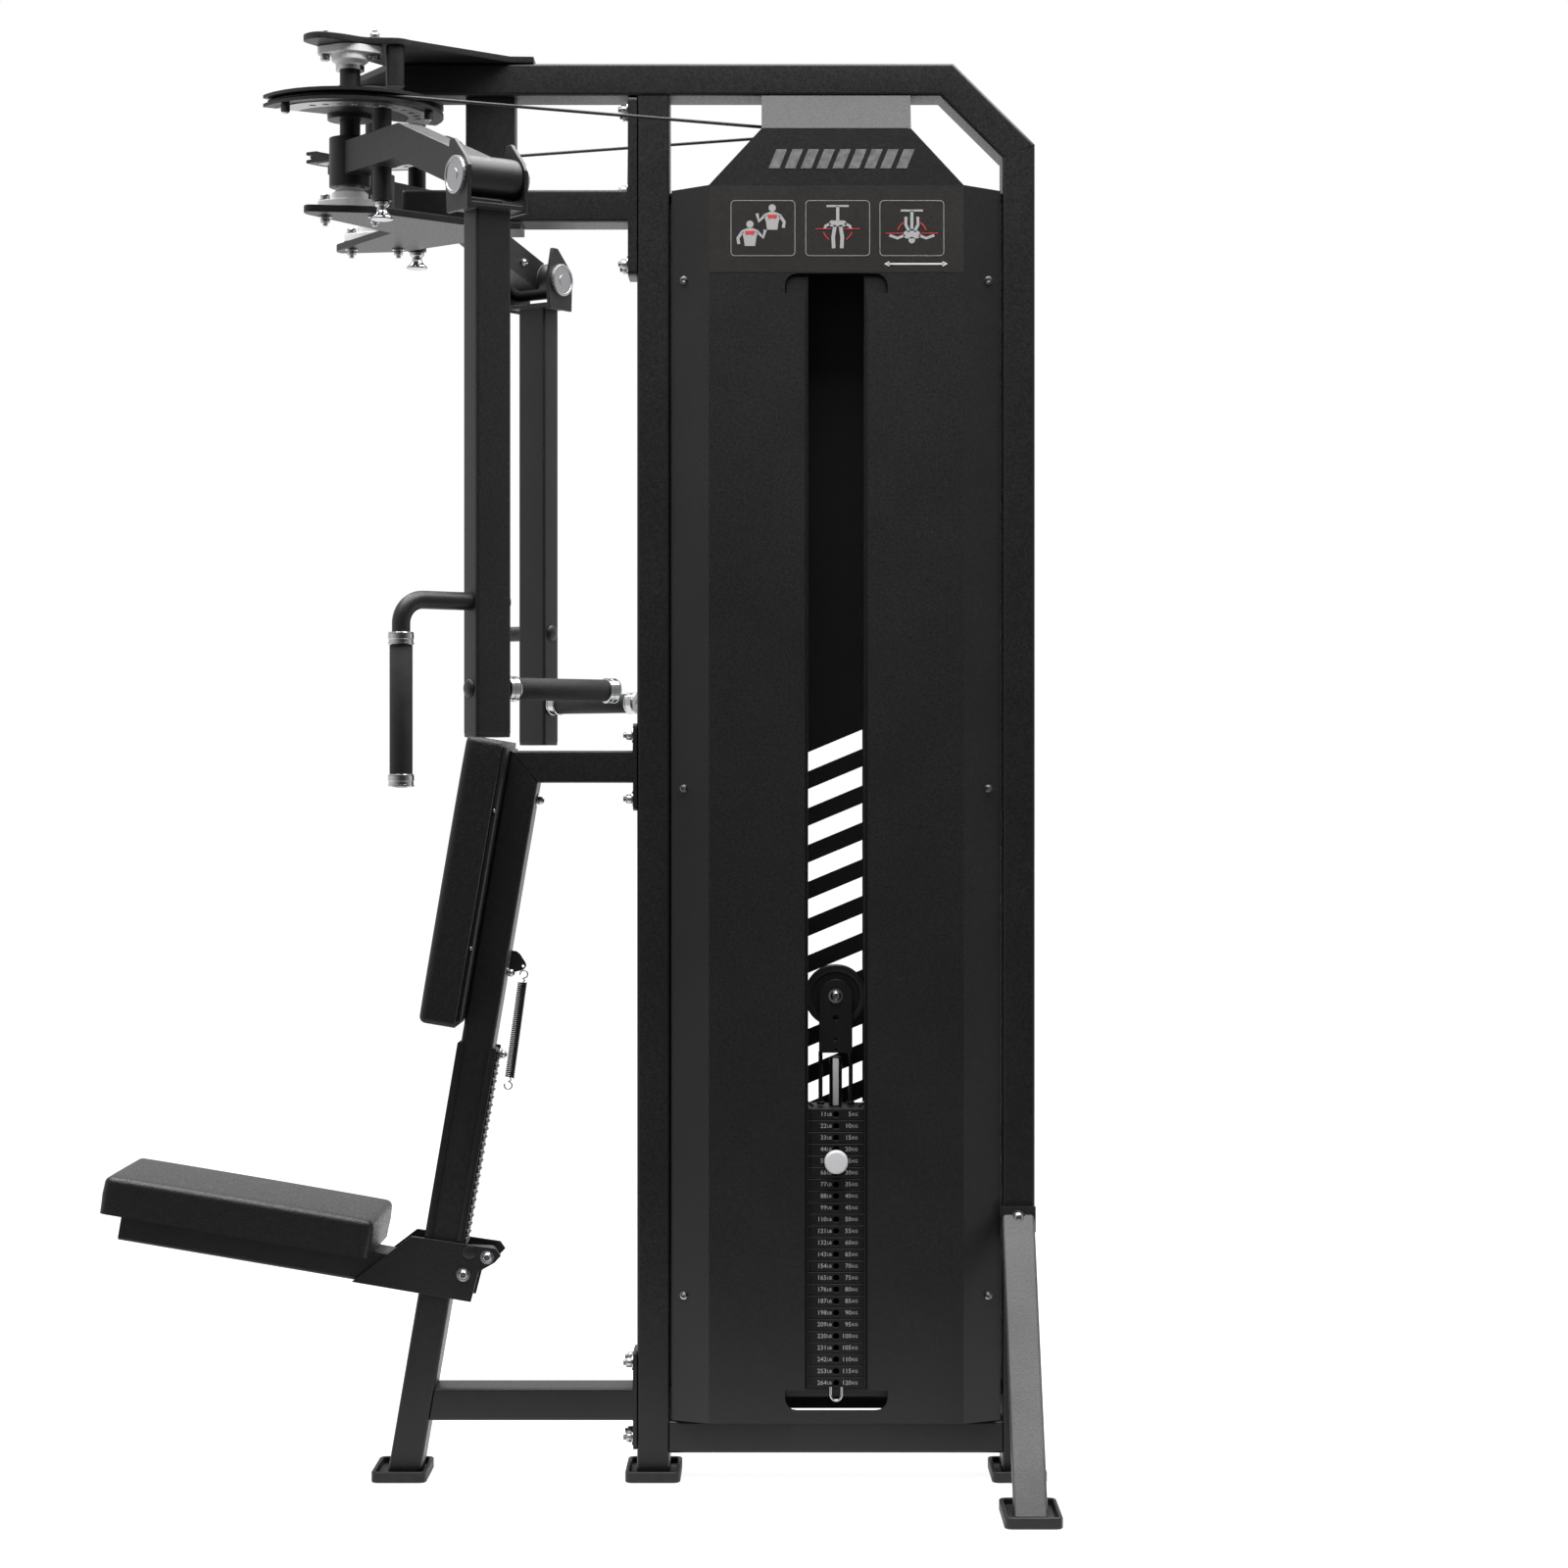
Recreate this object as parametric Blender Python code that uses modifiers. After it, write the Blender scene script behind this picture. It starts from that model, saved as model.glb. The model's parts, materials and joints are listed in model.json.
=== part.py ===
"""Pec deck machine: a weight-stack tower with two hanging press arms, a seat and a back pad.

Metres, +Z up. The user sits at -X. Left is -Y and right is +Y. The origin is on the floor,
under the middle of the machine.
"""

from math import asin, atan2, cos, hypot, pi, radians, sin, tan

import bmesh
import bpy
from mathutils import Matrix, Vector

# ---------------------------------------------------------------- driving dimensions
GAP = 0.0003  # between pieces that touch
TUBE_HIGH = 0.050  # frame tube, as seen from the side
TUBE_DEEP = 0.080  # frame tube, across the machine
WALL = 0.003
CORNER = 0.005  # outside corner radius of the tubing
SHEET = 0.002

TOP_Z = 2.191  # upper face of the top beam
FRONT_POST_X = 0.1147
REAR_POST_X = 0.680
TOP_BEAM_FRONT_X = -0.269
MITRE_X = 0.5685  # centre line of the top beam where it turns down
MITRE_Z = 2.0556  # centre line of the rear post where it turns in
SUPPORT_Z = 1.9705
UPRIGHT_X = -0.1385
MID_Z = 1.103
BASE_Z = 0.1165
BOTTOM_Z = 0.0663
FLANGE = 0.006

LEAN = radians(9.65)  # the seat post leans back by this
POST_FOOT_X = -0.2726  # centre line of the seat post at the floor
FOOT = (0.085, 0.130, 0.017)
FOOT_FLOOR = 0.006
STABILISER_Y = 0.319
STABILISER_TOP_Z = 0.404

SHAFT_X = -0.339
SHAFT_Y = 0.157
SHAFT_R = 0.0155
BORE_R = 0.0161
WHEEL_R = 0.141
CABLE_ON_WHEEL_R = 0.132
CABLE_R = 0.0025
CABLE_Z = 2.094
SECTOR_START = radians(211)  # of the left wheel, round +Z
SECTOR_SWEEP = radians(179)
HOLE_STEP = radians(12)  # between the arm's start positions
ARM_ANGLE = radians(55.4)  # of each swing arm, from +X, at rest
PIN_REACH = 0.1025  # shaft to pull pin
BARREL_REACH = 0.418
BARREL_Z = 1.931
BARREL_R = 0.0295
BARREL_HALF = 0.042
PRESS_ARM = (0.040, 0.057)  # in the swing arm's direction, and across it
PRESS_FOOT_Z = 1.147
PRESS_HEAD_Z = 1.889

STACK_X = 0.3974
PLATE = (0.33, 0.11, 0.018)
STACK_TOP_Z = 0.576
PLATES = 24
SELECTED = 5  # plates above and at the pin
FALL = 0.0455  # stack centre to each hanging cable, and the pulleys' running radius
PULLEY_RIM = 0.0485
GUIDE_OFFSET = 0.064
GUIDE_R = 0.0095
FLOATING_Z = 0.747
PANEL_Y = 0.066  # outer face of the shrouds
PANEL_HALF = 0.2545
FACET_HALF = 0.196
SLOT_HALF = 0.0485

SEAT_Z = 0.33  # height where the seat carriage crosses the post's centre line
SEAT_WIDTH = 0.27
GRIP_R = 0.016
HANDLE_R = 0.013

SIDES = (("left", -1), ("right", 1))
X_AXIS = Vector((1, 0, 0))
Y_AXIS = Vector((0, 1, 0))
Z_AXIS = Vector((0, 0, 1))


# ---------------------------------------------------------------- scene and materials
def clear_scene():
    for obj in list(bpy.data.objects):
        bpy.data.objects.remove(obj)


def collection(name):
    made = bpy.data.collections.new(name)
    bpy.context.scene.collection.children.link(made)
    return made


def material(name, colour, roughness, metallic=0.0):
    made = bpy.data.materials.new(name)
    made.use_nodes = True
    shader = made.node_tree.nodes["Principled BSDF"]
    shader.inputs["Base Color"].default_value = (*colour, 1)
    shader.inputs["Roughness"].default_value = roughness
    shader.inputs["Metallic"].default_value = metallic
    return made


clear_scene()
MACHINE = collection("pec_deck_machine")
CUTTERS = collection("cutters")
POWDER_COAT = material("powder_coat", (0.016, 0.016, 0.016), 0.45)
GREY_STEEL = material("grey_steel", (0.23, 0.23, 0.23), 0.5, 0.6)
CAST_GREY = material("cast_grey", (0.62, 0.62, 0.62), 0.45, 0.6)
CHROME = material("chrome", (0.8, 0.8, 0.8), 0.12, 1.0)
RUBBER = material("rubber", (0.012, 0.012, 0.012), 0.75)
VINYL = material("vinyl", (0.022, 0.022, 0.022), 0.6)
CABLE_COAT = material("cable_coat", (0.01, 0.01, 0.01), 0.4)
PLATE_IRON = material("plate_iron", (0.02, 0.02, 0.02), 0.5)
NYLON = material("nylon", (0.012, 0.012, 0.012), 0.4)


# ---------------------------------------------------------------- placing
def frame(origin, x_axis, y_axis):
    """A matrix whose columns are the two axes, their cross product and the origin."""
    x, y = Vector(x_axis).normalized(), Vector(y_axis).normalized()
    z = x.cross(y)
    made = Matrix((x, y, z)).transposed().to_4x4()
    made.translation = Vector(origin)
    return made


def along(origin, axis):
    """A matrix at origin whose Z runs along axis."""
    made = Vector(axis).to_track_quat("Z", "Y").to_matrix().to_4x4()
    made.translation = Vector(origin)
    return made


def place(name, mesh, matrix, finish, pivot=None):
    obj = bpy.data.objects.new(name, mesh)
    MACHINE.objects.link(obj)
    obj.data.materials.clear()
    obj.data.materials.append(finish)
    if pivot:
        obj.parent = pivot
        obj.matrix_parent_inverse = pivot.matrix_basis.inverted()
    obj.matrix_basis = matrix
    return obj


def pivot_at(name, origin):
    made = bpy.data.objects.new(name, None)
    made.empty_display_size = 0.05
    MACHINE.objects.link(made)
    made.matrix_basis = Matrix.Translation(origin)
    return made


def helper(obj):
    """A piece that only cuts or joins another."""
    for owner in list(obj.users_collection):
        owner.objects.unlink(obj)
    CUTTERS.objects.link(obj)
    obj.hide_render = True
    obj.display_type = "WIRE"
    return obj


def combine(obj, other, operation):
    step = obj.modifiers.new(operation.lower(), "BOOLEAN")
    step.operation = operation
    step.solver = "EXACT"
    step.object = helper(other)
    return obj


def unite(obj, *others):
    for other in others:
        combine(obj, other, "UNION")
    return obj


def cut(obj, *others):
    for other in others:
        combine(obj, other, "DIFFERENCE")
    return obj


# ---------------------------------------------------------------- outlines
def arc(radius, start, end, steps, centre=(0, 0)):
    points = []
    for i in range(steps + 1):
        angle = start + (end - start) * i / steps
        points.append((centre[0] + radius * cos(angle), centre[1] + radius * sin(angle)))
    return points


def circle(radius, steps=24, centre=(0, 0)):
    return arc(radius, 0, 2 * pi, steps, centre)[:-1]


def rounded(width, height, radius, steps=2, centre=(0, 0)):
    points = []
    for i, (sx, sy) in enumerate(((1, 1), (-1, 1), (-1, -1), (1, -1))):
        corner = (centre[0] + sx * (width / 2 - radius), centre[1] + sy * (height / 2 - radius))
        points += arc(radius, i * pi / 2, (i + 1) * pi / 2, steps, corner)
    return points


def lobed(middle_r, lobe_r, reach, steps=6):
    """A two-bolt flange: a round middle with a smaller lobe each side along x."""
    lean = pi / 2 - asin((middle_r - lobe_r) / reach)
    points = arc(lobe_r, -lean, lean, steps, (reach, 0))
    points += arc(middle_r, lean, pi - lean, steps)
    points += arc(lobe_r, pi - lean, pi + lean, steps, (-reach, 0))
    points += arc(middle_r, pi + lean, 2 * pi - lean, steps)
    return points


# ---------------------------------------------------------------- shapes
def curve_mesh(curve):
    """The closed mesh of a curve, with its caps welded on."""
    obj = bpy.data.objects.new("outline", curve)
    bpy.context.scene.collection.objects.link(obj)
    mesh = bpy.data.meshes.new_from_object(obj.evaluated_get(bpy.context.evaluated_depsgraph_get()))
    bpy.data.objects.remove(obj)
    shape = bmesh.new()
    shape.from_mesh(mesh)
    bmesh.ops.remove_doubles(shape, verts=shape.verts, dist=1e-6)
    bmesh.ops.recalc_face_normals(shape, faces=shape.faces)
    shape.to_mesh(mesh)
    shape.free()
    return mesh


def outline_curve(loops, thickness):
    curve = bpy.data.curves.new("outline", "CURVE")
    curve.dimensions = "2D"
    curve.fill_mode = "BOTH"
    curve.extrude = thickness / 2
    for loop in loops:
        spline = curve.splines.new("POLY")
        spline.points.add(len(loop) - 1)
        for point, (x, y) in zip(spline.points, loop):
            point.co = (x, y, 0, 1)
        spline.use_cyclic_u = True
    return curve


def flat(name, loops, thickness, matrix, finish=POWDER_COAT, pivot=None):
    """A flat outline, with any holes after it, centred on its thickness."""
    return place(name, curve_mesh(outline_curve(loops, thickness)), matrix, finish, pivot)


def block(name, low, high, finish=POWDER_COAT, pivot=None, radius=0.0):
    """A box between two corners, its upright edges rounded by radius."""
    low, high = Vector(low), Vector(high)
    size, middle = high - low, (high + low) / 2
    if radius:
        loop = rounded(size.x, size.y, radius)
    else:
        loop = [(-size.x / 2, -size.y / 2), (size.x / 2, -size.y / 2)]
        loop += [(size.x / 2, size.y / 2), (-size.x / 2, size.y / 2)]
    return flat(name, [loop], size.z, Matrix.Translation(middle), finish, pivot)


def turned(name, profile, matrix, finish, pivot=None, steps=24):
    """A profile of (radius, height) turned about Z: a closed loop, or open with both ends on the axis."""
    open_ended = profile[0][0] == 0
    area = 0.0
    for (r1, h1), (r2, h2) in zip(profile, profile[1:] + profile[:1]):
        area += r1 * h2 - r2 * h1
    if area > 0:
        profile = profile[::-1]
    count = len(profile)
    mesh = bpy.data.meshes.new(name)
    edges = [(i, (i + 1) % count) for i in range(count - open_ended)]
    mesh.from_pydata([(r, 0, h) for r, h in profile], edges, [])
    obj = place(name, mesh, matrix, finish, pivot)
    screw = obj.modifiers.new("turn", "SCREW")
    screw.steps = screw.render_steps = steps
    screw.use_merge_vertices = True
    screw.merge_threshold = 1e-5
    return obj


def rod(name, start, end, radius, finish=CHROME, pivot=None, steps=24):
    start, end = Vector(start), Vector(end)
    length = (end - start).length
    profile = [(0, length), (radius, length), (radius, 0), (0, 0)]
    return turned(name, profile, along(start, end - start), finish, pivot, steps)


def ring(name, outer, inner, low, high, matrix, finish, pivot=None, steps=24):
    profile = [(inner, high), (outer, high), (outer, low), (inner, low)]
    return turned(name, profile, matrix, finish, pivot, steps)


def wire(name, points, radius, finish, pivot=None, resolution=2):
    """A round wire through the points, with filled caps."""
    curve = bpy.data.curves.new(name, "CURVE")
    curve.dimensions = "3D"
    curve.bevel_depth = radius
    curve.bevel_resolution = resolution
    curve.use_fill_caps = True
    spline = curve.splines.new("POLY")
    spline.points.add(len(points) - 1)
    for point, where in zip(spline.points, points):
        point.co = (*where, 1)
    return place(name, curve_mesh(curve), Matrix.Identity(4), finish, pivot)


def tube(name, path, high, deep, side, finish=POWDER_COAT, pivot=None, slopes=(0, 0), wall=WALL):
    """A rectangular tube along a path, mitred where the path turns, open at its ends.

    deep is measured along side, and high across the path. A slope moves an end's cut along the
    tube by that much for each metre across it.
    """
    path = [Vector(p) for p in path]
    side = Vector(side).normalized()
    outer = rounded(high, deep, CORNER)
    inner = rounded(high - 2 * wall, deep - 2 * wall, CORNER - wall)
    runs = [(b - a).normalized() for a, b in zip(path, path[1:])]
    shape = bmesh.new()
    rings = []
    for i, point in enumerate(path):
        before, after = runs[max(i - 1, 0)], runs[min(i, len(runs) - 1)]
        across = side.cross((before + after).normalized()) / cos(before.angle(after) / 2)
        if i == 0:
            across += after * slopes[0]
        if i == len(path) - 1:
            across += before * slopes[1]
        for loop in (outer, inner):
            rings.append([shape.verts.new(point + across * a + side * b) for a, b in loop])
    outers, inners = rings[::2], rings[1::2]
    shells = list(zip(outers, outers[1:])) + list(zip(inners, inners[1:]))
    shells += [(outers[0], inners[0]), (outers[-1], inners[-1])]
    for first, second in shells:
        for k in range(len(first)):
            n = (k + 1) % len(first)
            shape.faces.new((first[k], first[n], second[n], second[k]))
    bmesh.ops.recalc_face_normals(shape, faces=shape.faces)
    mesh = bpy.data.meshes.new(name)
    shape.to_mesh(mesh)
    shape.free()
    return place(name, mesh, Matrix.Identity(4), finish, pivot)


# ---------------------------------------------------------------- frame
POST_UP = Vector((sin(LEAN), 0, cos(LEAN)))
POST_BACK = Vector((cos(LEAN), 0, -sin(LEAN)))


def on_post(back, up, y=0.0):
    """A point in the seat's own directions, from where the carriage crosses the post."""
    origin = Vector((POST_FOOT_X + SEAT_Z * tan(LEAN), 0, SEAT_Z))
    return origin + POST_BACK * back + POST_UP * up + Y_AXIS * y


def post_frame(y=0.0):
    """X runs back across the seat post and Y up along it."""
    return frame(on_post(0, 0, y), POST_BACK, POST_UP)


def flange(name, low_z, high_z, thickness):
    """A bolting flange on the front face of the front post."""
    x = FRONT_POST_X - TUBE_HIGH / 2 - GAP - thickness / 2
    middle = (low_z + high_z) / 2
    loop = rounded(TUBE_DEEP, high_z - low_z, 0.008)
    return flat(name, [loop], thickness, frame((x, 0, middle), Y_AXIS, Z_AXIS))


def build_tower():
    beam_z = TOP_Z - TUBE_HIGH / 2
    bend = tan(radians(22.5))
    path = [(TOP_BEAM_FRONT_X, 0, beam_z), (MITRE_X, 0, beam_z)]
    path.append((REAR_POST_X - GAP / 2, 0, MITRE_Z + GAP / 2))
    tube("top_beam", path, TUBE_HIGH, TUBE_DEEP, Y_AXIS, slopes=(0, -bend))
    rear = [(REAR_POST_X, 0, MITRE_Z - GAP), (REAR_POST_X, 0, FOOT_FLOOR + GAP)]
    tube("rear_post", rear, TUBE_HIGH, TUBE_DEEP, Y_AXIS, slopes=(bend, 0))
    front = [(FRONT_POST_X, 0, TOP_Z - TUBE_HIGH - GAP), (FRONT_POST_X, 0, FOOT_FLOOR + GAP)]
    tube("front_post", front, TUBE_HIGH, TUBE_DEEP, Y_AXIS)
    half = TUBE_HIGH / 2 + GAP
    bottom = [(FRONT_POST_X + half, 0, BOTTOM_Z), (REAR_POST_X - half, 0, BOTTOM_Z)]
    tube("bottom_beam", bottom, TUBE_HIGH, TUBE_DEEP, Y_AXIS)


def build_arm_support():
    face = FRONT_POST_X - TUBE_HIGH / 2 - 2 * GAP
    thickness = 0.014
    path = [(TOP_BEAM_FRONT_X, 0, SUPPORT_Z), (face - thickness / 2, 0, SUPPORT_Z)]
    beam = tube("arm_support_beam", path, TUBE_HIGH, TUBE_DEEP, Y_AXIS)
    upright_top = TOP_Z - TUBE_HIGH - GAP
    upright_foot = SUPPORT_Z + TUBE_HIGH / 2 - WALL / 2
    upright = [(UPRIGHT_X, 0, upright_top), (UPRIGHT_X, 0, upright_foot)]
    unite(
        beam,
        tube("upright", upright, 0.077, 0.050, Y_AXIS),
        flange("support_flange", 1.863, TOP_Z - TUBE_HIGH - GAP, thickness),
    )


def build_seat_frame():
    turn = tan((pi / 2 - LEAN) / 2)
    top = Vector((POST_FOOT_X + MID_Z * tan(LEAN), 0, MID_Z))
    foot_z = FOOT_FLOOR + GAP
    foot = Vector((POST_FOOT_X + foot_z * tan(LEAN), 0, foot_z))
    tube("seat_post", [foot, top], TUBE_HIGH, TUBE_DEEP, Y_AXIS, slopes=(tan(LEAN), -turn))
    end = FRONT_POST_X - TUBE_HIGH / 2 - GAP - FLANGE / 2
    mid = [top + X_AXIS * GAP * 2, (end, 0, MID_Z)]
    unite(
        tube("mid_beam", mid, TUBE_HIGH, TUBE_DEEP, Y_AXIS, slopes=(turn, 0)),
        flange("mid_flange", 1.035, 1.170, FLANGE),
    )
    half = TUBE_HIGH / 2 / cos(LEAN) + GAP
    base = [(POST_FOOT_X + BASE_Z * tan(LEAN) + half, 0, BASE_Z), (end, 0, BASE_Z)]
    unite(
        tube("base_beam", base, TUBE_HIGH, TUBE_DEEP, Y_AXIS, slopes=(-tan(LEAN), 0)),
        flange("base_flange", 0.046, 0.1975, FLANGE),
    )


def build_foot(name, x, y, deep):
    """A rubber tray: a floor with a raised rim round it."""
    wide, _, high = FOOT
    tray = flat(
        name,
        [rounded(wide, deep, 0.010)],
        high,
        Matrix.Translation((x, y, high / 2)),
        RUBBER,
    )
    pocket = flat(
        name + "_pocket",
        [rounded(wide - 0.012, deep - 0.012, 0.006)],
        high,
        Matrix.Translation((x, y, FOOT_FLOOR + high / 2)),
    )
    cut(tray, pocket)


def build_feet():
    build_foot("seat_post_foot", POST_FOOT_X - 0.004, 0, FOOT[1])
    build_foot("front_post_foot", FRONT_POST_X, 0, FOOT[1])
    build_foot("rear_post_foot", REAR_POST_X, 0, FOOT[1])
    for name, side in SIDES:
        build_foot(name + "_stabiliser_foot", REAR_POST_X - 0.002, side * STABILISER_Y, 0.144)


def build_stabiliser(name, side):
    """A leg from a bracket on the rear post's side down to its own foot."""
    face = side * (TUBE_DEEP / 2 + GAP)
    bracket = block(
        name + "_stabiliser",
        (REAR_POST_X - 0.026, min(face, face + side * 0.006), 0.384),
        (REAR_POST_X + 0.026, max(face, face + side * 0.006), 0.424),
    )
    top = Vector((REAR_POST_X - 0.001, face + side * 0.003, 0.395))
    foot = Vector((REAR_POST_X - 0.002, side * STABILISER_Y, FOOT_FLOOR + GAP))
    run = (foot - top).normalized()
    across = X_AXIS.cross(run)
    level = -across.z / run.z
    upright = -across.y / run.y
    leg = tube("leg", [top, foot], 0.025, TUBE_HIGH, X_AXIS, GREY_STEEL, slopes=(upright, level))
    unite(bracket, leg)


# ---------------------------------------------------------------- arm bearings
def half_plate(points):
    """An outline that is the same on both sides of the x axis, from its half at y > 0."""
    mirrored = [(x, -y) for x, y in reversed(points) if y > 0]
    return points + mirrored


def build_bearing_plates():
    upper_half = [(-0.295, 0), (-0.398, 0.172), (-0.405, 0.190), (-0.395, 0.208), (-0.376, 0.2175)]
    upper_half += [(-0.345, 0.203), (-0.316, 0.180), (-0.274, 0.174), (-0.247, 0.158)]
    upper_half += [(-0.106, 0.042), (-0.070, 0.040)]
    upper = flat(
        "upper_bearing_plate",
        [half_plate(upper_half)],
        0.010,
        Matrix.Translation((0, 0, TOP_Z + GAP + 0.005)),
    )
    for _, side in SIDES:
        foot = (SHAFT_X + 0.068, side * 0.155, 2.131)
        unite(upper, rod("stop_post", foot, Vector(foot) + Z_AXIS * 0.064, 0.014, steps=20))
        for s in (-1, 1):
            low = (SHAFT_X + s * 0.0375, side * SHAFT_Y, TOP_Z + 0.006)
            unite(upper, rod("bolt_end", low, Vector(low) + Z_AXIS * 0.0195, 0.0075, steps=12))
    lower_half = [(-0.295, 0), (-0.4025, 0.1745), (-0.4025, 0.2025), (-0.2977, 0.187)]
    lower_half += [(-0.1805, 0.085), (-0.125, 0.042), (-0.090, 0.040)]
    z = SUPPORT_Z - TUBE_HIGH / 2 - GAP - 0.0055
    flat("lower_bearing_plate", [half_plate(lower_half)], 0.011, Matrix.Translation((0, 0, z)))


def build_bearing(name, side, z, up):
    """A cast two-bolt flange bearing: its flange is at z, and its nose points along up."""
    centre = Vector((SHAFT_X, side * SHAFT_Y, z))
    loops = [lobed(0.031, 0.012, 0.0375), circle(BORE_R + 0.002)]
    matrix = frame(centre + Z_AXIS * up * 0.006, X_AXIS, Y_AXIS)
    body = flat(name, loops, 0.012, matrix, CAST_GREY)
    profile = [(BORE_R, 0), (0.028, 0), (0.028, 0.022), (0.022, 0.026), (0.021, 0.031), (BORE_R, 0.031)]
    nose = turned("nose", profile, along(centre + Z_AXIS * up * 0.0004, (0, 0, up)), CAST_GREY)
    unite(body, nose)


def build_bearings():
    for name, side in SIDES:
        build_bearing(name + "_upper_bearing", side, TOP_Z - GAP / 2, -1)
        build_bearing(name + "_lower_bearing", side, SUPPORT_Z - TUBE_HIGH / 2, 1)


# ---------------------------------------------------------------- arms
def arm_direction(side):
    return Vector((cos(ARM_ANGLE), side * sin(ARM_ANGLE), 0))


def across_arm(side):
    """Level, square to the swing arm, towards the stack."""
    return Vector((sin(ARM_ANGLE), -side * cos(ARM_ANGLE), 0))


def on_arm(side, reach, z, across=0.0):
    origin = Vector((SHAFT_X, side * SHAFT_Y, z))
    return origin + arm_direction(side) * reach + across_arm(side) * across


def cable_heading(side):
    """The angle of the cable's run from the wheel's outer side to above its fall."""
    fall_x = STACK_X + side * FALL
    dx, dy = fall_x - SHAFT_X, SHAFT_Y
    return -side * (atan2(dy, dx) + asin(CABLE_ON_WHEEL_R / hypot(dx, dy)))


def build_wheel(name, side, pivot):
    """A grooved half wheel on its shaft, with a slot in place of its start-position holes."""
    centre = Vector((SHAFT_X, side * SHAFT_Y, 0))
    low, high = CABLE_Z - 0.009, CABLE_Z + 0.009
    root = CABLE_ON_WHEEL_R - CABLE_R - 0.0005
    lip = 0.004
    profile = [(SHAFT_R - 0.002, high + 0.006), (0.034, high + 0.006), (0.034, low + 0.007)]
    profile += [(0.120, low + 0.007), (0.120, high), (WHEEL_R, high), (WHEEL_R, CABLE_Z + lip)]
    profile += [(root, CABLE_Z + lip - 0.001), (root, CABLE_Z - lip + 0.001)]
    profile += [(WHEEL_R, CABLE_Z - lip), (WHEEL_R, low), (0.034, low), (0.034, low - 0.006)]
    profile += [(SHAFT_R - 0.002, low - 0.006)]
    wheel = turned(name + "_cable_wheel", profile, Matrix.Translation(centre), POWDER_COAT, pivot, 40)
    start = SECTOR_START if side < 0 else -SECTOR_START - SECTOR_SWEEP
    away = arc(0.0345, start + SECTOR_SWEEP, start + 2 * pi, 10)
    away += arc(0.20, start + 2 * pi, start + SECTOR_SWEEP, 8)
    cut(wheel, flat("missing_half", [away], 0.1, Matrix.Translation(centre + Z_AXIS * CABLE_Z)))
    first, last = ARM_ANGLE - 2 * HOLE_STEP, ARM_ANGLE + 5 * HOLE_STEP
    slot = arc(PIN_REACH + 0.0062, first, last, 10)
    slot += arc(0.0062, last, last + pi, 4, (PIN_REACH * cos(last), PIN_REACH * sin(last)))[1:]
    slot += arc(PIN_REACH - 0.0062, last, first, 10)[1:]
    slot += arc(0.0062, first + pi, first + 2 * pi, 4, (PIN_REACH * cos(first), PIN_REACH * sin(first)))[1:-1]
    slot = [(x, side * y) for x, y in slot]
    cut(wheel, flat("pin_slot", [slot], 0.06, Matrix.Translation(centre + Z_AXIS * CABLE_Z)))
    shaft = rod("shaft", centre + Z_AXIS * 1.950, centre + Z_AXIS * 2.186, SHAFT_R, steps=32)
    unite(wheel, shaft)


def build_wheel_cable(name, side, pivot):
    """The part of the cable that lies in the wheel's groove."""
    leave = cable_heading(side) + side * pi / 2
    anchor = SECTOR_START if side < 0 else -SECTOR_START
    leave = leave + side * radians(0.6)
    anchor = (anchor + side * -radians(1.0)) % (2 * pi)
    leave = leave % (2 * pi)
    points = arc(CABLE_ON_WHEEL_R, anchor, leave, 16, (SHAFT_X, side * SHAFT_Y))
    wire(name + "_wheel_cable", [(x, y, CABLE_Z) for x, y in points], CABLE_R, CABLE_COAT, pivot)


def build_swing_arm(name, side, pivot):
    """Hub, cranked tube, pull-pin housing and barrel, welded together."""
    outward = arm_direction(side)
    level_z, tilt = 2.019, radians(20.7)
    half = 0.025
    normal = Vector((sin(tilt), cos(tilt)))
    end = Vector((BARREL_REACH - 0.018, BARREL_Z + 0.018 * tan(tilt)))
    bend = half * tan(tilt / 2)
    loop = [(0.024, level_z - half), (0.185 - bend, level_z - half), tuple(end - normal * half)]
    loop += [tuple(end + normal * half), (0.185 + bend, level_z + half), (0.024, level_z + half)]
    centre = (SHAFT_X, side * SHAFT_Y, 0)
    arm = flat(name + "_swing_arm", [loop], 0.040, frame(centre, outward, Z_AXIS), POWDER_COAT, pivot)
    hub_low = SUPPORT_Z - TUBE_HIGH / 2 + 0.0318
    hub = ring("hub", 0.0315, BORE_R, hub_low, 2.052, Matrix.Translation(centre), POWDER_COAT, steps=28)
    barrel_ends = [on_arm(side, BARREL_REACH, BARREL_Z, s * BARREL_HALF) for s in (-1, 1)]
    barrel = rod("barrel", *barrel_ends, BARREL_R, steps=28)
    housing = rod("housing", on_arm(side, PIN_REACH, 1.943), on_arm(side, PIN_REACH, 2.080), 0.0145)
    unite(arm, hub, barrel, housing)
    bore_ends = [on_arm(side, BARREL_REACH, BARREL_Z, s * 0.06) for s in (-1, 1)]
    pin_bore = rod("bore", on_arm(side, PIN_REACH, 1.90), on_arm(side, PIN_REACH, 2.12), 0.0058, steps=10)
    cut(arm, pin_bore, rod("bore", *bore_ends, 0.0125, steps=16))


def build_pull_pin(name, side, pivot):
    profile = [(0, 2.100), (0.0045, 2.100), (0.0045, 1.9425), (0.0115, 1.9425), (0.0115, 1.936)]
    profile += [(0.008, 1.932), (0.010, 1.924), (0.017, 1.919), (0.017, 1.915), (0, 1.914)]
    spot = on_arm(side, PIN_REACH, 0)
    turned(name + "_pull_pin", profile, Matrix.Translation(spot), CHROME, pivot, 20)


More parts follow.
